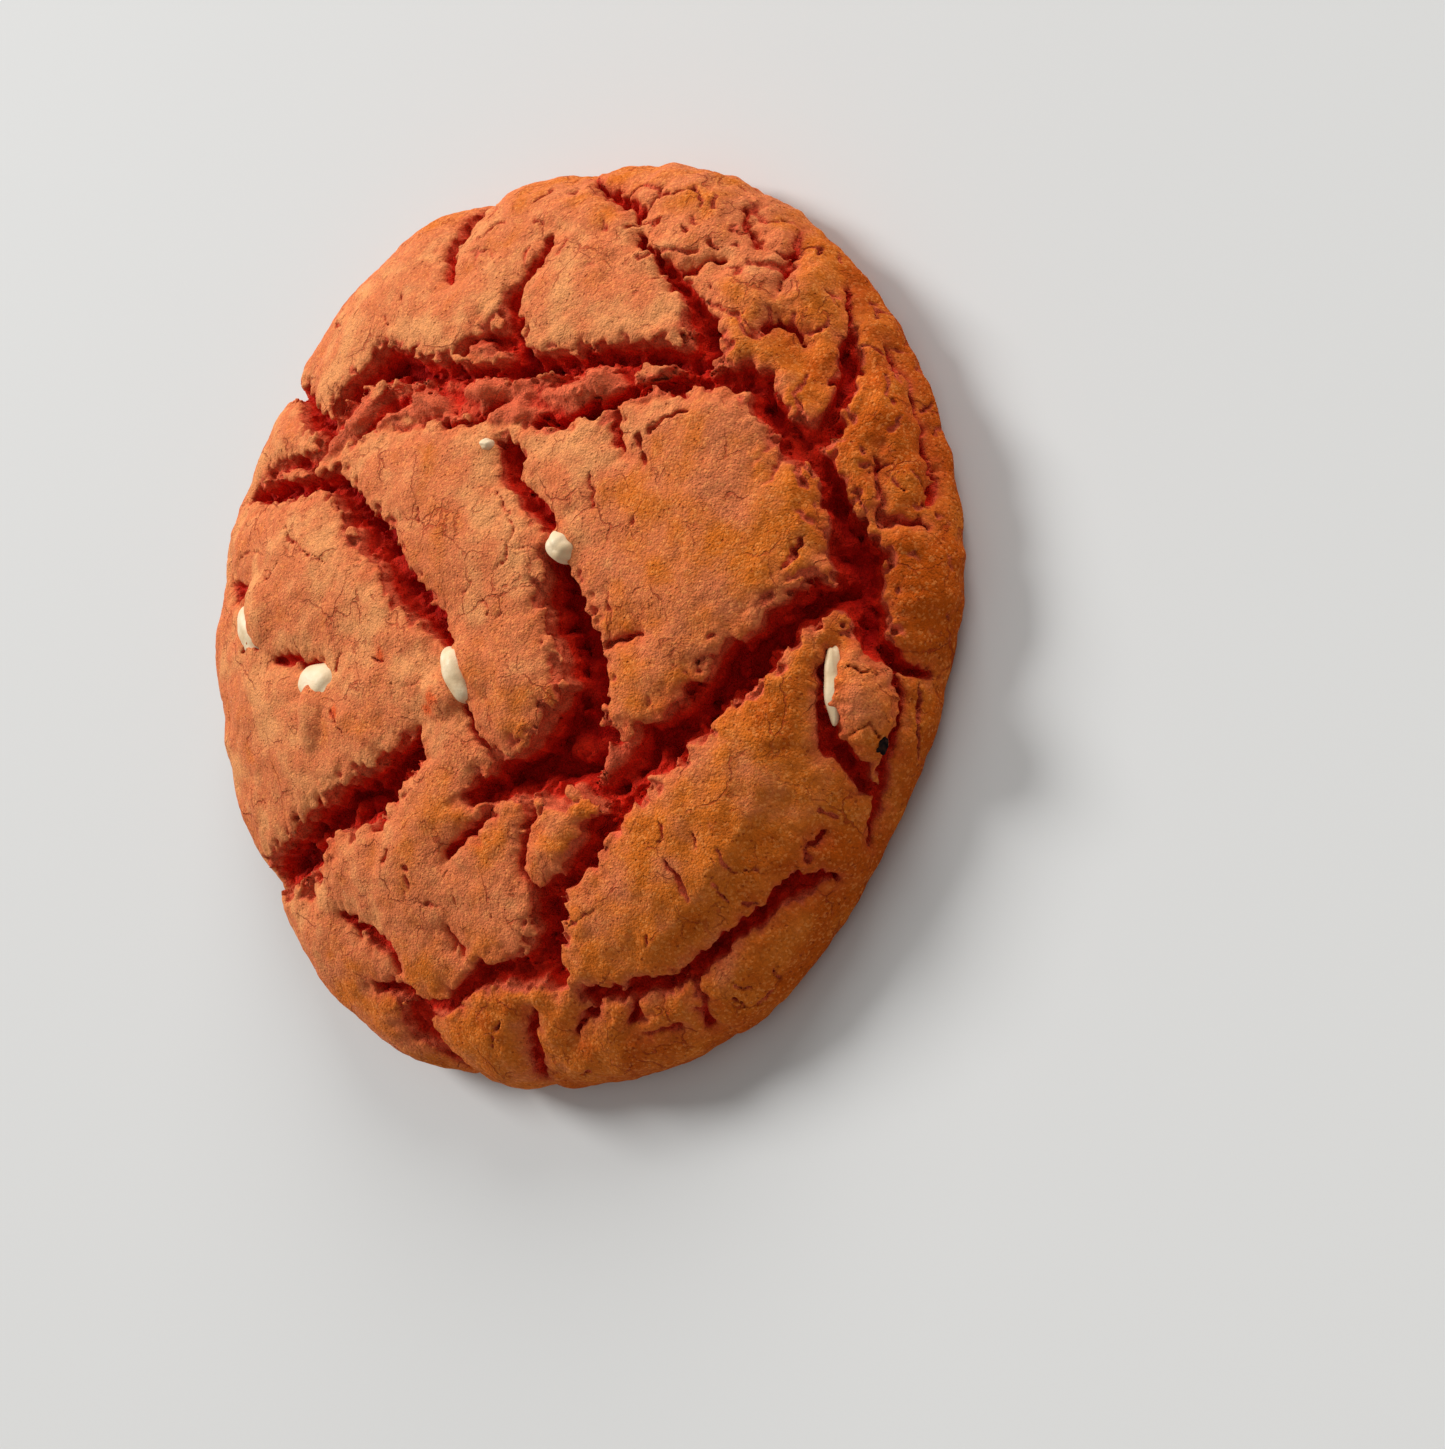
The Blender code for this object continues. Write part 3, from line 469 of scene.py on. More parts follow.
# The crust is knobby and creased towards the upper right rim.
KNOBBY = smooth_step(36, 46, ARC) * smooth_step(-25, 20, U) * (0.5 + 0.5 * smooth_step(-25, 0, V))
PLATE += KNOBBY * (0.50 * noise(U / 5.2, V / 5.2, 13) + 0.30 * noise(U / 2.6, V / 2.6, 14))
creases = np.exp(-(noise(THIN_U / 5.4, THIN_V / 5.4, 15) / 0.05) ** 2)
creases *= smooth_step(-0.1, 0.3, noise(U / 4.2, V / 4.2, 21)) * smooth_step(-10, 6, V)
HAIR_CUT = np.maximum(HAIR_CUT, 0.8 * KNOBBY * creases)
PLATE -= 0.14 * smooth_step(0.25, 0.8, noise(U / 2.4, V / 2.4, 9))

# Height of the whole skin over the dome, with lumps on the floor of the cracks.
GROUND = PLATE - CUT - HAIR_CUT
GROUND += smooth_step(0.3, 1.2, NEAR) * 0.7 * (noise(U / 2.7, V / 2.7, 5) + 0.3)
GROUND += smooth_step(0.7, 2.2, NEAR) * 1.5 * np.clip(noise(U / 4.0, V / 4.0, 12) + 0.2, 0, 1)
CAVITY = blurred(GROUND, 2.6) - blurred(GROUND, 0.4)
for mid_u, mid_v, length, width, turn, tall in FLAPS:
    GROUND += tall * oval(0.7 * U + 0.3 * THIN_U, 0.7 * V + 0.3 * THIN_V, mid_u, mid_v, length, width, turn)

# How much steeper than the dome the skin is, to turn heights into distances.
slope_v, slope_u = np.gradient(GROUND, GRID)
SLOPE = np.sqrt(1 + np.minimum(slope_u ** 2 + slope_v ** 2, 30.0))

# How far the crust is baked, with painted shade, how thin it is beside a crack, with painted red glow and
# bounce light, and where it is red.
BAKED_AND_SHADE = 0.30 + 0.36 * noise(U / 10.0, V / 10.0, 82) + 0.26 * noise(U / 3.6, V / 3.6, 83)
BAKED_AND_SHADE += 0.22 * KNOBBY * smooth_step(30, 52, U)
BAKED_AND_SHADE += 0.40 * smooth_step(36, 60, ARC) * smooth_step(-60, 20, U)
# Painted light and shade: paler towards the upper left and browner towards the lower right, partly real
# browning.
BAKED_AND_SHADE += 0.50 * smooth_step(-10, 45, U - 0.9 * V) - 0.24
BAKED_AND_SHADE -= 0.35 * np.exp(OUTSIDE / 1.3)
# Thin crust beside a crack, partly real and partly painted red glow and bounce light, reaching far from
# wide canyons.
BRINK_AND_BOUNCE = np.maximum(np.exp(OUTSIDE / 0.9), 0.5 * WIDE * np.exp(OUTSIDE / 2.4))
BRINK_AND_BOUNCE *= 0.75 + 0.5 * noise(U / 1.6, V / 1.6, 84)
RED = np.zeros_like(U)
for ru, rv, radius in RED_SPOTS:
    RED = np.maximum(RED, np.exp(-((THIN_U - ru) ** 2 + (THIN_V - rv) ** 2) / radius ** 2))
BAKED_AND_SHADE += 0.15 * np.exp(-((U + 8) ** 2 + (V - 8) ** 2) / 200)
BAKED_AND_SHADE -= 0.60 * np.exp(-(((U - 50.3) / 4) ** 2 + ((V + 14.5) / 7) ** 2))


def sample(fields, u, v):
    """The fields at points of the skin, from the four grid points around each."""
    a = np.clip((u + half * GRID) / GRID, 0, U.shape[1] - 1.001)
    b = np.clip((v + half * GRID) / GRID, 0, U.shape[0] - 1.001)
    i = a.astype(np.int64)
    j = b.astype(np.int64)
    fa = a - i
    fb = b - j
    at = j * U.shape[1] + i
    out = []
    for field in fields:
        flat = field.reshape(-1)
        low = flat[at] * (1 - fa) + flat[at + 1] * fa
        high = flat[at + U.shape[1]] * (1 - fa) + flat[at + U.shape[1] + 1] * fa
        out.append(low * (1 - fb) + high * fb)
    return out


def scramble(x, y, z, seed):
    """A mixed-up whole number for each lattice corner in space."""
    h = x * np.uint32(374761393) + y * np.uint32(668265263) + z * np.uint32(2246822519)
    h = h + np.uint32((seed * 974711) & 0xFFFFFFFF)
    h = (h ^ (h >> np.uint32(13))) * np.uint32(1274126177)
    h = (h ^ (h >> np.uint32(15))) * np.uint32(2654435761)
    return h ^ (h >> np.uint32(16))


def bits(h, shift, mask):
    """Some bits of mixed-up numbers, as floats from 0 to the mask."""
    return ((h >> np.uint32(shift)) & np.uint32(mask)).astype(np.float32)


def split(place, scale):
    """Whole and broken part of the lattice coordinates."""
    q = [np.asarray(axis / scale, np.float32) for axis in place]
    whole = [np.floor(axis) for axis in q]
    part = [axis - low for axis, low in zip(q, whole)]
    return [low.astype(np.int32).view(np.uint32) for low in whole], part


def noise3(place, scale, seed):
    """Smooth gradient noise in space, about -1 to 1, one cell for each length of the scale."""
    (xi, yi, zi), (xf, yf, zf) = split(place, scale)
    fade = [f * f * f * (f * (f * 6 - 15) + 10) for f in (xf, yf, zf)]
    total = np.zeros(xf.shape, np.float32)
    for dx in (0, 1):
        for dy in (0, 1):
            for dz in (0, 1):
                h = scramble(xi + np.uint32(dx), yi + np.uint32(dy), zi + np.uint32(dz), seed)
                slope = (bits(h, 0, 1023) - 511.5) * (xf - dx)
                slope += (bits(h, 10, 1023) - 511.5) * (yf - dy)
                slope += (bits(h, 20, 1023) - 511.5) * (zf - dz)
                weight = (fade[0] if dx else 1 - fade[0]) * (fade[1] if dy else 1 - fade[1])
                total += slope * weight * (fade[2] if dz else 1 - fade[2])
    return total / 511.5 * 1.3


def clods3(place, scale, seed):
    """Distance to the nearest scattered point in space, in cells, and that point's number."""
    (xi, yi, zi), (xf, yf, zf) = split(place, scale)
    best = np.full(xf.shape, FAR, np.float32)
    number = np.zeros(xf.shape, np.float32)
    for dx in (-1, 0, 1):
        for dy in (-1, 0, 1):
            for dz in (-1, 0, 1):
                h = scramble(xi + np.uint32(dx & 0xFFFFFFFF), yi + np.uint32(dy & 0xFFFFFFFF),
                             zi + np.uint32(dz & 0xFFFFFFFF), seed)
                px = bits(h, 0, 1023) / 1023 * 0.8 + (0.1 + dx) - xf
                py = bits(h, 10, 1023) / 1023 * 0.8 + (0.1 + dy) - yf
                pz = bits(h, 20, 1023) / 1023 * 0.8 + (0.1 + dz) - zf
                away = px * px + py * py + pz * pz
                closer = away < best
                best = np.where(closer, away, best)
                number = np.where(closer, bits(h, 7, 255) / 255, number)
    return np.sqrt(best), number


# The dough as a field in space.
steps_x = round(HALF_WIDTH / VOXEL)
steps_y = round(HALF_DEPTH / VOXEL)
xs = np.arange(-steps_x, steps_x + 1) * VOXEL
ys = np.arange(-steps_y, steps_y + 1) * VOXEL
zs = np.arange(round(FIELD_HEIGHT / VOXEL)) * VOXEL
FIELD_X, FIELD_Y = np.meshgrid(xs - MIDDLE[0], ys - MIDDLE[1])
TURN = np.arctan2(FIELD_Y, FIELD_X)
COS = np.cos(TURN)
SIN = np.sin(TURN)
REACH = np.hypot(FIELD_X, FIELD_Y) / lobed(TURN)

# Tables of the place along the profile and the height over it, by reach and height.
DENSE = np.arange(0.0, WORKED_REACH + 1.0, 0.05)
tangent_r = np.gradient(PROFILE_R, PROFILE_S)
tangent_z = np.gradient(PROFILE_Z, PROFILE_S)
tangent_size = np.hypot(tangent_r, tangent_z)
tangent_r /= tangent_size
tangent_z /= tangent_size
ARC_TABLE = np.zeros((len(zs), len(DENSE)))
RISE_TABLE = np.zeros((len(zs), len(DENSE)))
for k, z in enumerate(zs):
    best = np.argmin((DENSE[:, None] - PROFILE_R) ** 2 + (z - PROFILE_Z) ** 2, axis=1)
    off_r = DENSE - PROFILE_R[best]
    off_z = z - PROFILE_Z[best]
    ARC_TABLE[k] = PROFILE_S[best] + off_r * tangent_r[best] + off_z * tangent_z[best]
    RISE_TABLE[k] = -off_r * tangent_z[best] + off_z * tangent_r[best]


def fade_at(arc):
    """How much of the relief is left at a distance from the crown."""
    return 1 - smooth_step(SKIN - RELIEF_FADE, SKIN, arc)


def crumbs(place):
    """Relief of torn crumb: rounded clods of two sizes, broken up."""
    bent = [axis + 0.45 * noise3(place, 1.7, 61 + n) for n, axis in enumerate(place)]
    big, number = clods3(bent, 1.9, 63)
    small, _ = clods3(bent, 0.85, 64)
    out = (0.55 - big) * (0.7 + 0.7 * number) + 0.42 * (0.5 - small)
    return out + 0.20 * noise3(place, 0.5, 65)


def dough_layer(k, z):
    """The field at one height: mm over the dough, below zero inside it."""
    rise = np.interp(REACH, DENSE, RISE_TABLE[k])
    layer = np.where(rise < 0, -1.0, 1.0)
    worked = (rise > -WORKED_BELOW) & (rise < WORKED_ABOVE) & (REACH < WORKED_REACH)
    rows, columns = np.nonzero(worked)
    if not len(rows):
        return layer
    rise = rise[rows, columns]
    arc = np.interp(REACH[rows, columns], DENSE, ARC_TABLE[k])
    u = arc * COS[rows, columns]
    v = arc * SIN[rows, columns]
    fade = fade_at(arc)
    plate, ground, near, into_u, into_v, slope, wide, inside = sample(
        (PLATE, GROUND, NEAR, INTO_U, INTO_V, SLOPE, WIDE, INSIDE), u, v)
    below = plate * fade - rise

    def place_of(some):
        return columns[some] * VOXEL, rows[some] * VOXEL, np.full(len(some), z)

    # under the crust a crack is wider and its edge is loose
    edge = np.flatnonzero((near > -1.6) & (near < 1.5) & (below > 0.15) & (below < 5.0))
    if len(edge):
        place = place_of(edge)
        under = UNDERCUT * smooth_step(0.2, 0.9, below[edge]) * (1 - smooth_step(1.8, 3.6, below[edge]))
        under = under * (1 + 0.8 * noise3(place, 2.3, 66)) * (0.25 + 0.75 * wide[edge])
        loose = 0.30 * smooth_step(0.2, 0.8, below[edge])
        moved_u = u[edge] + under * into_u[edge] + loose * noise3(place, 0.8, 67)
        moved_v = v[edge] + under * into_v[edge] + loose * noise3(place, 0.8, 68)
        ground[edge], slope[edge] = sample((GROUND, SLOPE), moved_u, moved_v)
    value = (rise - ground * fade) / slope

    # torn crumb in the cracks
    torn = np.maximum(smooth_step(0.25, 0.8, below), inside) * fade
    spot = np.flatnonzero((np.abs(value) < 1.3) & (torn > 0.02))
    if len(spot):
        place = place_of(spot)
        value[spot] -= (0.34 + 0.28 * wide[spot]) * torn[spot] * crumbs(place)

    # sandy crust on the plates
    spot = np.flatnonzero((np.abs(value) < 0.5) & (torn < 0.98))
    if len(spot):
        place = place_of(spot)
        sandy = 0.05 * noise3(place, 1.4, 71) + 0.02 * noise3(place, 0.8, 72)
        sandy += 0.05 * (0.5 - clods3(place, 0.55, 73)[0])
        value[spot] -= (1 - torn[spot]) * fade[spot] * sandy
    layer[rows, columns] = value
    return layer


FIELD = np.empty((len(zs), len(ys), len(xs)), np.float32)
for k, z in enumerate(zs):
    FIELD[k] = dough_layer(k, z)


def surface(field):
    """Points and outward quads of the field's zero level, one point for each cell that it crosses."""
    size = field.shape
    solid = field < 0
    count = np.zeros([n - 1 for n in field.shape], np.int8)
    for dz in (0, 1):
        for dy in (0, 1):
            for dx in (0, 1):
                count += solid[dz:size[0] - 1 + dz, dy:size[1] - 1 + dy, dx:size[2] - 1 + dx]
    crossed = (count > 0) & (count < 8)
    k, j, i = np.nonzero(crossed)
    number = np.full(crossed.shape, -1, np.int32)
    number[k, j, i] = np.arange(len(k))
    corners = [(dx, dy, dz) for dz in (0, 1) for dy in (0, 1) for dx in (0, 1)]
    values = [field[k + dz, j + dy, i + dx] for dx, dy, dz in corners]
    total = np.zeros((len(k), 3))
    hits = np.zeros(len(k))
    for a in range(8):
        for b in range(a + 1, 8):
            way = [corners[b][n] - corners[a][n] for n in range(3)]
            if sum(abs(n) for n in way) != 1:
                continue
            mixed_sign = (values[a] < 0) != (values[b] < 0)
            gap = np.where(mixed_sign, values[a] - values[b], 1.0)
            part = np.where(mixed_sign, values[a] / gap, 0.0)
            for n in range(3):
                total[:, n] += np.where(mixed_sign, corners[a][n] + part * way[n], 0.0)
            hits += mixed_sign
    points = np.stack((i, j, k), -1) + total / hits[:, None]
    quads = []
    for axis in range(3):
        low = [slice(1, -1)] * 3
        high = [slice(1, -1)] * 3
        at = 2 - axis
        low[at] = slice(0, -1)
        high[at] = slice(1, None)
        change = solid[tuple(low)] != solid[tuple(high)]
        c = list(np.nonzero(change))
        outward = solid[tuple(low)][tuple(c)]
        for n in range(3):
            if n != at:
                c[n] = c[n] + 1
        first_axis, second_axis = [(1, 0), (0, 2), (2, 1)][axis]
        ring = []
        for da, db in ((-1, -1), (0, -1), (0, 0), (-1, 0)):
            cell = list(c)
            cell[first_axis] = cell[first_axis] + da
            cell[second_axis] = cell[second_axis] + db
            ring.append(number[tuple(cell)])
        ring = np.stack(ring, 1)
        ring[~outward] = ring[~outward][:, ::-1]
        quads.append(ring)
    return points, np.concatenate(quads)


def largest_piece(quads, count):
    """The quads of the largest connected piece, without loose crumbs that touch nothing."""
    label = np.arange(count)
    edges = np.concatenate((quads[:, :2], quads[:, 1:3], quads[:, 2:]))
    while True:
        low = np.minimum(label[edges[:, 0]], label[edges[:, 1]])
        new = label.copy()
        np.minimum.at(new, label[edges[:, 0]], low)
        np.minimum.at(new, label[edges[:, 1]], low)
        new = new[new]
        if np.array_equal(new, label):
            break
        label = new
    return quads[label[quads[:, 0]] == np.bincount(label).argmax()]


def point_normals(points, quads):
    """Outward normals of the points, from the quads around each."""
    corners = points[quads]
    spread = np.cross(corners[:, 2] - corners[:, 0], corners[:, 3] - corners[:, 1])
    sums = [sum(np.bincount(quads[:, c], spread[:, n], len(points)) for c in range(4)) for n in range(3)]
    normals = np.stack(sums, 1)
    return normals / np.maximum(np.linalg.norm(normals, axis=1, keepdims=True), 1e-12)


POINTS, QUADS = surface(FIELD)
del FIELD
POINTS = POINTS * VOXEL + np.array((xs[0], ys[0], 0.0))
QUADS = largest_piece(QUADS, len(POINTS))
FACING = point_normals(POINTS, QUADS)

# What the material reads at each point.
away_x = POINTS[:, 0] - MIDDLE[0]
away_y = POINTS[:, 1] - MIDDLE[1]
point_turn = np.arctan2(away_y, away_x)
point_reach = np.clip(np.hypot(away_x, away_y) / lobed(point_turn), 0, DENSE[-2])


def table_at(table):
    """A table by reach and height, read at each point."""
    a = point_reach / (DENSE[1] - DENSE[0])
    b = np.clip(POINTS[:, 2] / VOXEL, 0, len(zs) - 1.001)
    i = a.astype(np.int64)
    j = b.astype(np.int64)
    low = table[j, i] * (1 - a + i) + table[j, i + 1] * (a - i)
    high = table[j + 1, i] * (1 - a + i) + table[j + 1, i + 1] * (a - i)
    return low * (1 - b + j) + high * (b - j)


point_arc = table_at(ARC_TABLE)
point_u = point_arc * np.cos(point_turn)
point_v = point_arc * np.sin(point_turn)
plate, hair, baked_and_shade, cavity, brink_and_bounce, inside, red = sample(
    (PLATE, HAIR_CUT, BAKED_AND_SHADE, CAVITY, BRINK_AND_BOUNCE, INSIDE, RED), point_u, point_v)
point_fade = fade_at(point_arc)
space = (POINTS[:, 0] + 200, POINTS[:, 1] + 200, POINTS[:, 2])
below = plate * point_fade - table_at(RISE_TABLE)
ATTRIBUTES = {
    "crust": (1 - smooth_step(0.06, 0.36, below + 0.18 * noise3(space, 0.9, 81))) * (1 - 0.85 * inside),
    "depth": np.clip(below, -1, 6),
    "gold_and_shade": baked_and_shade,
    "cavity": cavity,
    "brink_and_bounce": brink_and_bounce,
    "red": red,
    "line": np.clip(smooth_step(0.12, 0.6, hair), 0, 1),
    "crumb": crumbs((POINTS[:, 0] - xs[0], POINTS[:, 1] - ys[0], POINTS[:, 2])),
}
face_v = point_v[QUADS].mean(axis=1)
cuts = np.quantile(face_v, np.linspace(0, 1, PIECES + 1))


def new_object(name, data):
    thing = bpy.data.objects.new(name, data)
    bpy.context.scene.collection.objects.link(thing)
    return thing


def skin_band(name, low, high):
    """One band of the skin between two lines of v, with its own flat map."""
    quads = QUADS[(face_v >= low) & (face_v < high)]
    used, corners = np.unique(quads, return_inverse=True)
    corners = corners.reshape(-1).astype(np.int32)
    mesh = bpy.data.meshes.new(name)
    mesh.vertices.add(len(used))
    mesh.vertices.foreach_set("co", (POINTS[used] * MM).astype(np.float32).reshape(-1))
    mesh.loops.add(len(corners))
    mesh.loops.foreach_set("vertex_index", corners)
    mesh.polygons.add(len(quads))
    mesh.polygons.foreach_set("loop_start", np.arange(0, len(corners), 4, dtype=np.int32))
    mesh.update(calc_edges=True)
    for key, field in ATTRIBUTES.items():
        layer = mesh.attributes.new(key, "FLOAT", "POINT")
        layer.data.foreach_set("value", field[used].astype(np.float32))
    flat = np.stack((point_u[used], point_v[used]), 1)
    flat = (flat - flat.min(axis=0)) / np.ptp(flat, axis=0)
    flat = 0.003 + 0.994 * flat
    layer = mesh.uv_layers.new(name="OFBake")
    layer.data.foreach_set("uv", flat[corners].astype(np.float32).reshape(-1))
    mesh.polygons.foreach_set("use_smooth", np.ones(len(quads), bool))
    mesh.normals_split_custom_set_from_vertices(FACING[used])
    return new_object(name, mesh)


# Materials. Scales of patterns are in cells a metre, and heights of bumps are in metres.
def linear(r, g, b):
    return (r, g, b, 1.0)


class Nodes:
    """A material's node tree, with short names for the few node kinds used here."""

    def __init__(self, name):
        self.material = bpy.data.materials.new(name)
        self.material.use_nodes = True
        self.tree = self.material.node_tree
        self.shader = self.tree.nodes["Principled BSDF"]
        self.place = self.add("ShaderNodeTexCoord").outputs["Object"]

    def put(self, socket, value):
        if hasattr(value, "links"):
            self.tree.links.new(value, socket)
        else:
            socket.default_value = value

    def add(self, kind, sockets=None, **settings):
        node = self.tree.nodes.new(kind)
        for key, value in settings.items():
            setattr(node, key, value)
        for key, value in (sockets or {}).items():
            self.put(node.inputs[key], value)
        return node

    def attribute(self, name):
        return self.add("ShaderNodeAttribute", attribute_name=name).outputs["Fac"]

    def math(self, operation, a, b=0.0, c=0.0):
        return self.add("ShaderNodeMath", {0: a, 1: b, 2: c}, operation=operation).outputs[0]

    def vector(self, operation, a, b):
        second = "Scale" if operation == "SCALE" else 1
        return self.add("ShaderNodeVectorMath", {0: a, second: b}, operation=operation).outputs[0]

    def mix(self, factor, a, b):
        """Colour a, turning into b as the factor goes from 0 to 1."""
        return self.add("ShaderNodeMix", {"Factor": factor, 6: a, 7: b}, data_type="RGBA").outputs[2]

    def shade(self, colour, factor):
        """Colour times a number."""
        return self.vector("SCALE", colour, factor)

    def bent(self, scale, size):
        """The place, pushed about by noise: size in metres."""
        noise = self.add("ShaderNodeTexNoise", {"Vector": self.place, "Scale": scale, "Detail": 3.0})
        centred = self.vector("SUBTRACT", noise.outputs["Color"], (0.5, 0.5, 0.5))
        return self.vector("ADD", self.place, self.vector("SCALE", centred, size))

    def noise(self, scale, detail=2.0, rough=0.5, offset=(0, 0, 0)):
        moved = self.vector("ADD", self.place, offset)
        sockets = {"Vector": moved, "Scale": scale, "Detail": detail, "Roughness": rough}
        return self.add("ShaderNodeTexNoise", sockets).outputs["Fac"]

    def cells(self, scale, feature="F1", place=None):
        sockets = {"Vector": place if place is not None else self.place, "Scale": scale}
        return self.add("ShaderNodeTexVoronoi", sockets, feature=feature).outputs["Distance"]

    def grains(self, scale):
        """Roundness of close-packed grains, and a number for each grain."""
        grain = self.add("ShaderNodeTexVoronoi", {"Vector": self.place, "Scale": scale})
        each = self.add("ShaderNodeSeparateColor", {0: grain.outputs["Color"]})
        return self.math("SUBTRACT", 1.0, grain.outputs["Distance"]), each.outputs[0]

    def ramp(self, factor, low, high):
        """Smooth step from 0 at low to 1 at high, where low may be the larger of the two."""
        ends = (low, high, 0.0, 1.0) if low < high else (high, low, 1.0, 0.0)
        sockets = {"Value": factor, **dict(zip(("From Min", "From Max", "To Min", "To Max"), ends))}
        return self.add("ShaderNodeMapRange", sockets, interpolation_type="SMOOTHSTEP").outputs["Result"]

    def bump(self, height, distance, strength=1.0):
        sockets = {"Height": height, "Distance": distance, "Strength": strength}
        return self.add("ShaderNodeBump", sockets).outputs["Normal"]

    def finish(self, colour, normal, roughness, gloss):
        """Puts all on the shader and gives back the material."""
        self.put(self.shader.inputs["Base Color"], colour)
        self.put(self.shader.inputs["Normal"], normal)
        self.put(self.shader.inputs["Roughness"], roughness)
        self.put(self.shader.inputs["Specular IOR Level"], gloss)
        return self.material


PALE = linear(0.75, 0.285, 0.100)
PINK = linear(0.66, 0.170, 0.058)
GOLDEN = linear(0.63, 0.145, 0.012)
BROWN = linear(0.50, 0.080, 0.002)
PALE_GRAIN = linear(0.80, 0.33, 0.09)
# Crumb colours: one red dough with painted light and shade, lit, shaded and deep in shade.
CRUMB_LIT = linear(0.60, 0.100, 0.040)
CRUMB_SHADED_RED = linear(0.56, 0.016, 0.004)
CRUMB_DEEP_SHADE = linear(0.36, 0.003, 0.001)
TORN = linear(0.34, 0.022, 0.005)
# Red of thin crust, partly painted red glow and bounce light.
THIN_CRUST_AND_BOUNCE = linear(0.62, 0.078, 0.022)
RAW = linear(0.68, 0.075, 0.010)


def dough_material(name):
    n = Nodes(name)
    crust = n.attribute("crust")
    gold_and_shade = n.attribute("gold_and_shade")
    cavity = n.attribute("cavity")
    line_on = n.attribute("line")
    crumb = n.attribute("crumb")
    patch = n.noise(330.0, 4.0, 0.6)
    grain = n.noise(2400.0, 3.0, 0.65)
    sand = n.noise(4800.0, 2.0, 0.6, (0.3, 0.1, 0.7))
    round_grain, each_grain = n.grains(3500.0)

    # crust: pink dough under a golden, sandy skin, browner where it stands out, and paler or browner across
    # the cookie by painted light and shade
    baked_and_shade = n.math("ADD", gold_and_shade, n.math("MULTIPLY", n.math("SUBTRACT", patch, 0.5), 0.9))
    colour = n.mix(n.ramp(baked_and_shade, -0.25, 0.20), PALE, PINK)
    colour = n.mix(n.ramp(baked_and_shade, 0.15, 0.75), colour, GOLDEN)
    colour = n.mix(n.ramp(baked_and_shade, 0.65, 1.15), colour, BROWN)
    colour = n.mix(n.math("MULTIPLY", n.ramp(each_grain, 0.70, 1.0), 0.30), colour, PALE_GRAIN)
    # thin crust beside cracks, tinted red: partly real, partly painted red glow and bounce light
    colour = n.mix(n.math("MULTIPLY", n.attribute("brink_and_bounce"), 0.75), colour, THIN_CRUST_AND_BOUNCE)
    colour = n.mix(n.math("MULTIPLY", n.ramp(n.attribute("red"), 0.10, 0.9), 0.8), colour, RAW)

    # fine net of hairlines and pores
    place = n.bent(520.0, 0.0026)
    wide = n.ramp(n.cells(150.0, "DISTANCE_TO_EDGE", place), 0.022, 0.006)
    wide = n.math("MULTIPLY", wide, n.ramp(n.noise(170.0, 3.0, 0.6, (0.2, 0.6, 0.1)), 0.48, 0.62))
    fine = n.ramp(n.cells(430.0, "DISTANCE_TO_EDGE", place), 0.044, 0.012)
    fine = n.math("MULTIPLY", fine, n.ramp(n.noise(240.0, 3.0, 0.6, (0.7, 0.2, 0.4)), 0.54, 0.68))
    net = n.math("MAXIMUM", wide, n.math("MULTIPLY", fine, 0.8))
    pores = n.math("MULTIPLY", n.ramp(n.cells(1300.0), 0.24, 0.10), n.ramp(patch, 0.42, 0.56))
    marks = n.math("MAXIMUM", n.math("MULTIPLY", net, 0.75), n.math("MULTIPLY", pores, 0.65))
    marks = n.math("MAXIMUM", marks, n.math("MULTIPLY", line_on, 0.9))
    colour = n.mix(n.math("MULTIPLY", marks, 0.8), colour, TORN)

    # crumb: red dough with painted light and shade, pinkish where it lies open and on the tops of clods,
    # redder in hollows, painted dark red shade down in the cracks
    painted_shade = n.math("MULTIPLY_ADD", cavity, 0.5, n.math("MULTIPLY", n.attribute("depth"), 0.4))
    painted_shade = n.math("SUBTRACT", painted_shade, n.math("MULTIPLY", crumb, 0.5))
    inner = n.mix(n.ramp(painted_shade, 0.1, 0.95), CRUMB_LIT, CRUMB_SHADED_RED)
    inner = n.mix(n.ramp(painted_shade, 1.1, 2.6), inner, CRUMB_DEEP_SHADE)
    inner = n.shade(inner, n.math("MULTIPLY_ADD", crumb, 0.5, n.math("MULTIPLY_ADD", sand, 1.3, 0.35)))
    colour = n.mix(crust, inner, colour)
    light = n.math("MULTIPLY_ADD", each_grain, 0.22, n.math("MULTIPLY_ADD", grain, 0.70, 0.55))
    colour = n.shade(colour, light)

    height = n.math("MULTIPLY_ADD", grain, 0.5, n.math("MULTIPLY", sand, 0.55))
    height = n.math("MULTIPLY_ADD", round_grain, 0.34, height)
    height = n.math("SUBTRACT", height, n.math("MULTIPLY", marks, 0.8))
    return n.finish(colour, n.bump(height, 0.00026), n.math("MULTIPLY_ADD", grain, 0.15, 0.75), 0.08)


def chip_material(name):
    n = Nodes(name)
    cloud = n.noise(420.0, 3.0)
    colour = n.mix(n.ramp(cloud, 0.3, 0.7), linear(0.80, 0.63, 0.40), linear(0.74, 0.53, 0.30))
    normal = n.bump(n.noise(1800.0, 2.0), 0.0001, 0.5)
    return n.finish(colour, normal, n.math("MULTIPLY_ADD", cloud, 0.2, 0.40), 0.35)


def char_material(name):
    n = Nodes(name)
    cloud = n.noise(2500.0, 3.0)
    colour = n.mix(n.ramp(cloud, 0.4, 0.7), linear(0.007, 0.004, 0.004), linear(0.030, 0.012, 0.008))
    return n.finish(colour, n.bump(cloud, 0.00015, 0.8), n.math("MULTIPLY_ADD", cloud, 0.2, 0.75), 0.05)


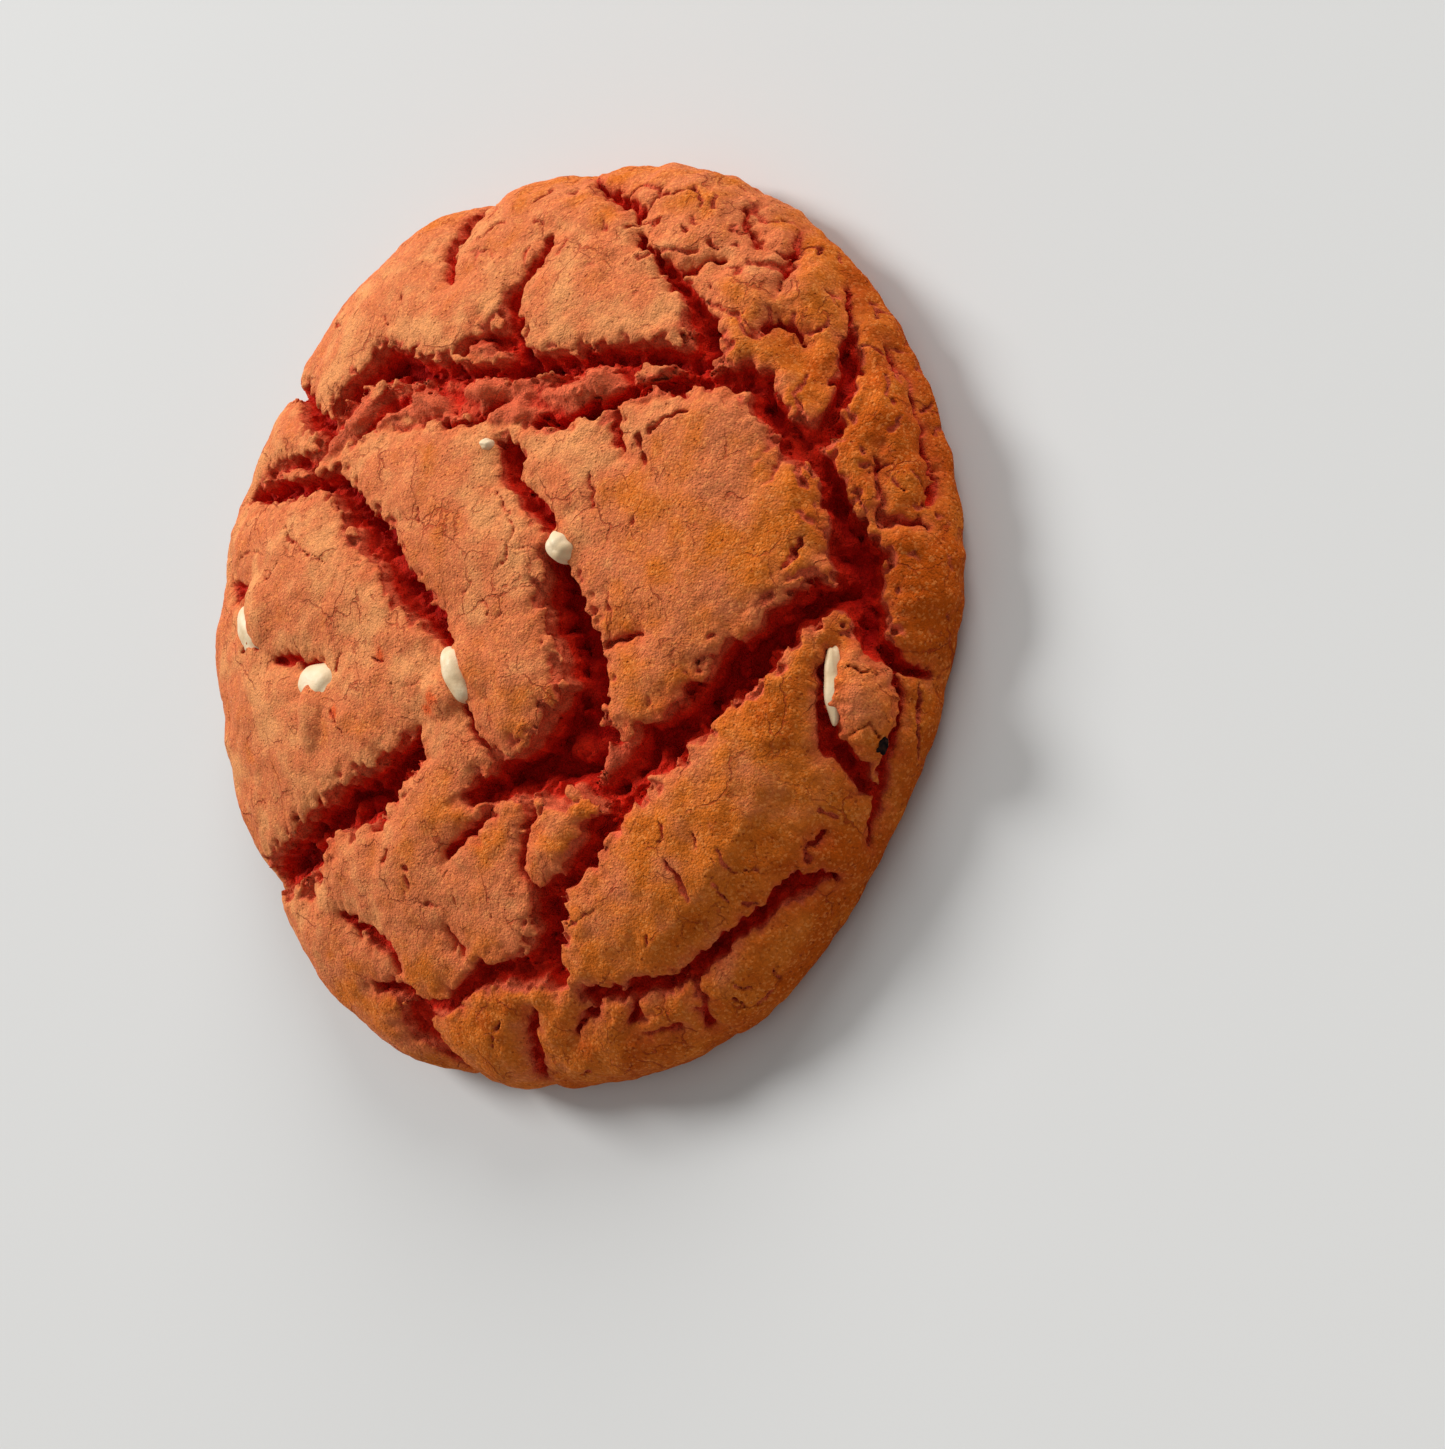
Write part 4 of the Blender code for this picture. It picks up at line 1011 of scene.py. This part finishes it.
def underside_material(name):
    n = Nodes(name)
    patch = n.noise(90.0, 4.0, 0.6)
    grain = n.noise(2200.0, 3.0, 0.6)
    pores = n.cells(700.0)
    colour = n.mix(n.ramp(patch, 0.35, 0.65), linear(0.46, 0.150, 0.045), linear(0.32, 0.085, 0.022))
    colour = n.mix(n.ramp(pores, 0.22, 0.08), colour, TORN)
    colour = n.shade(colour, n.math("MULTIPLY_ADD", grain, 0.4, 0.8))
    normal = n.bump(n.math("SUBTRACT", grain, n.ramp(pores, 0.25, 0.08)), 0.0002, 0.7)
    return n.finish(colour, normal, n.math("MULTIPLY_ADD", patch, 0.15, 0.75), 0.2)


def finish_piece(piece, material):
    """Gives a piece its material in one slot, ties it to the root body and hides the solid cookie."""
    piece.data.materials.clear()
    piece.data.materials.append(material)
    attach(piece, "root")
    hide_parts("cookie")


# The cookie.
dough = dough_material("crackled_dough")
for number, (low, high) in enumerate(zip(cuts[:-1], cuts[1:])):
    finish_piece(skin_band("skin_band_%d" % (number + 1), low, high + (number == PIECES - 1)), dough)


def underside_piece():
    """Flat underside, with the marks of a tray."""
    turn = np.arange(UNDERSIDE_SECTORS) / UNDERSIDE_SECTORS * 2 * math.pi
    reach = (EDGE_RADIUS - FOOT_INSET + 0.15) * np.linspace(0, 1, UNDERSIDE_RINGS + 1)[1:]
    r_grid, a_grid = np.meshgrid(reach, turn, indexing="ij")
    r_grid = r_grid * lobed(a_grid)
    x = MIDDLE[0] + r_grid * np.cos(a_grid)
    y = MIDDLE[1] + r_grid * np.sin(a_grid)
    z = 0.12 * smooth_step(0.2, 0.7, noise(x / 2.6, y / 2.6, 91)) + 0.03 * (1 + noise(x / 1.4, y / 1.4, 92))
    z = np.where(r_grid < FLAT_REACH, z, 0.0)
    z[-1] = 0.15
    points = np.concatenate((((MIDDLE[0], MIDDLE[1], 0.0),), np.stack((x, y, z), -1).reshape(-1, 3))) * MM
    sectors = UNDERSIDE_SECTORS
    faces = [(0, 1 + (k + 1) % sectors, 1 + k) for k in range(sectors)]
    for ring in range(UNDERSIDE_RINGS - 1):
        a = 1 + ring * sectors
        b = a + sectors
        faces.extend((a + k, a + (k + 1) % sectors, b + (k + 1) % sectors, b + k) for k in range(sectors))
    mesh = bpy.data.meshes.new("underside")
    mesh.from_pydata(points.tolist(), [], faces)
    mesh.validate()
    mesh.shade_smooth()
    return new_object("underside", mesh)


def points_of(mesh):
    flat = np.empty(len(mesh.vertices) * 3)
    mesh.vertices.foreach_get("co", flat)
    return flat.reshape(-1, 3)


def skin_at(field, u, v):
    """A field of the skin at one place."""
    return float(sample((field,), np.array([u]), np.array([v]))[0][0])


def dome_at(u, v):
    """Point of the smooth dome under one place of the skin, and its outward normal."""
    spot, facing = on_dome(np.array([math.hypot(u, v)]), np.array([math.atan2(v, u)]))
    return Vector(spot[0]), Vector(facing[0])


def chip_piece(number, mid_u, mid_v, length, width, thick, turn_by, sink):
    """A rounded chip of white chocolate, sunk into the dough."""
    bpy.ops.mesh.primitive_uv_sphere_add(segments=64, ring_count=40, radius=0.5)
    chip = bpy.context.object
    chip.name = "chip_%d" % (number + 1)
    ball = points_of(chip.data)
    bumpy = 1 + 0.12 * noise(ball[:, 0] * 3 + 9 * number, ball[:, 1] * 3 + ball[:, 2] * 2, 95)
    chip.data.vertices.foreach_set("co", (ball * bumpy[:, None]).reshape(-1))
    spot, facing = dome_at(mid_u, mid_v)
    spot -= facing * (sink - CHIP_FOLLOW * skin_at(PLATE, mid_u, mid_v))
    east = Vector((1, 0, 0)) - facing * facing.x
    east.normalize()
    north = facing.cross(east)
    axes = Matrix((east, north, facing)).transposed().to_4x4()
    turned = axes @ Matrix.Rotation(math.radians(turn_by), 4, "Z")
    grow = Matrix.Diagonal((length, width, thick, 1.0))
    chip.data.transform(Matrix.Scale(MM, 4) @ Matrix.Translation(spot) @ turned @ grow)
    chip.data.shade_smooth()
    return chip


def fleck_piece():
    """A small charred fleck on the hump."""
    bpy.ops.mesh.primitive_ico_sphere_add(subdivisions=4, radius=0.5)
    fleck = bpy.context.object
    fleck.name = "charred_fleck"
    ball = points_of(fleck.data)
    spiky = 1 + 0.45 * noise3([ball[:, n] + 5.0 for n in range(3)], 0.35, 97)
    fleck.data.vertices.foreach_set("co", (ball * spiky[:, None]).reshape(-1))
    spot, facing = dome_at(*FLECK)
    rise = skin_at(GROUND, *FLECK) * float(fade_at(np.array([math.hypot(*FLECK)]))[0])
    spot += facing * (rise + 0.1)
    turned = facing.to_track_quat("Z", "Y").to_matrix().to_4x4()
    grow = Matrix.Diagonal(FLECK_SIZE + (1.0,))
    fleck.data.transform(Matrix.Scale(MM, 4) @ Matrix.Translation(spot) @ turned @ grow)
    fleck.data.shade_smooth()
    return fleck


finish_piece(underside_piece(), underside_material("baked_underside"))
ivory = chip_material("white_chocolate")
for number, chip_row in enumerate(CHIPS):
    finish_piece(chip_piece(number, *chip_row), ivory)
finish_piece(fleck_piece(), char_material("charred_dough"))


# Camera, floor and light.
def add_camera():
    data = bpy.data.cameras.new("camera")
    data.sensor_width = SENSOR
    data.lens = FOCAL_LENGTH
    data.clip_start = 0.01
    camera = new_object("camera", data)
    back = Vector(CAMERA_BACK).normalized()
    up = Vector(CAMERA_UP)
    up = (up - back * up.dot(back)).normalized()
    axes = Matrix((up.cross(back), up, back)).transposed().to_4x4()
    camera.matrix_world = Matrix.Translation(Vector(CAMERA_PLACE) * MM) @ axes
    return camera


def add_sun(name, toward, strength, softness):
    data = bpy.data.lights.new(name, "SUN")
    data.energy = strength
    data.angle = math.radians(softness)
    light = new_object(name, data)
    light.rotation_euler = (-Vector(toward)).to_track_quat("-Z", "Y").to_euler()


bpy.context.scene.camera = add_camera()
bpy.ops.mesh.primitive_plane_add(size=FLOOR_SIZE, location=(0, 0, -FLOOR_GAP))
floor = bpy.context.object
floor.name = "floor"
paper = Nodes("floor")
paper.put(paper.shader.inputs["Base Color"], FLOOR_COLOUR)
paper.put(paper.shader.inputs["Roughness"], 0.7)
floor.data.materials.append(paper.material)
for light_row in LIGHTS:
    add_sun(*light_row)
world = bpy.data.worlds.new("world")
bpy.context.scene.world = world
world.use_nodes = True
background = world.node_tree.nodes["Background"]
background.inputs["Color"].default_value = WORLD_COLOUR
background.inputs["Strength"].default_value = WORLD_STRENGTH
bpy.context.scene.view_settings.view_transform = "Standard"
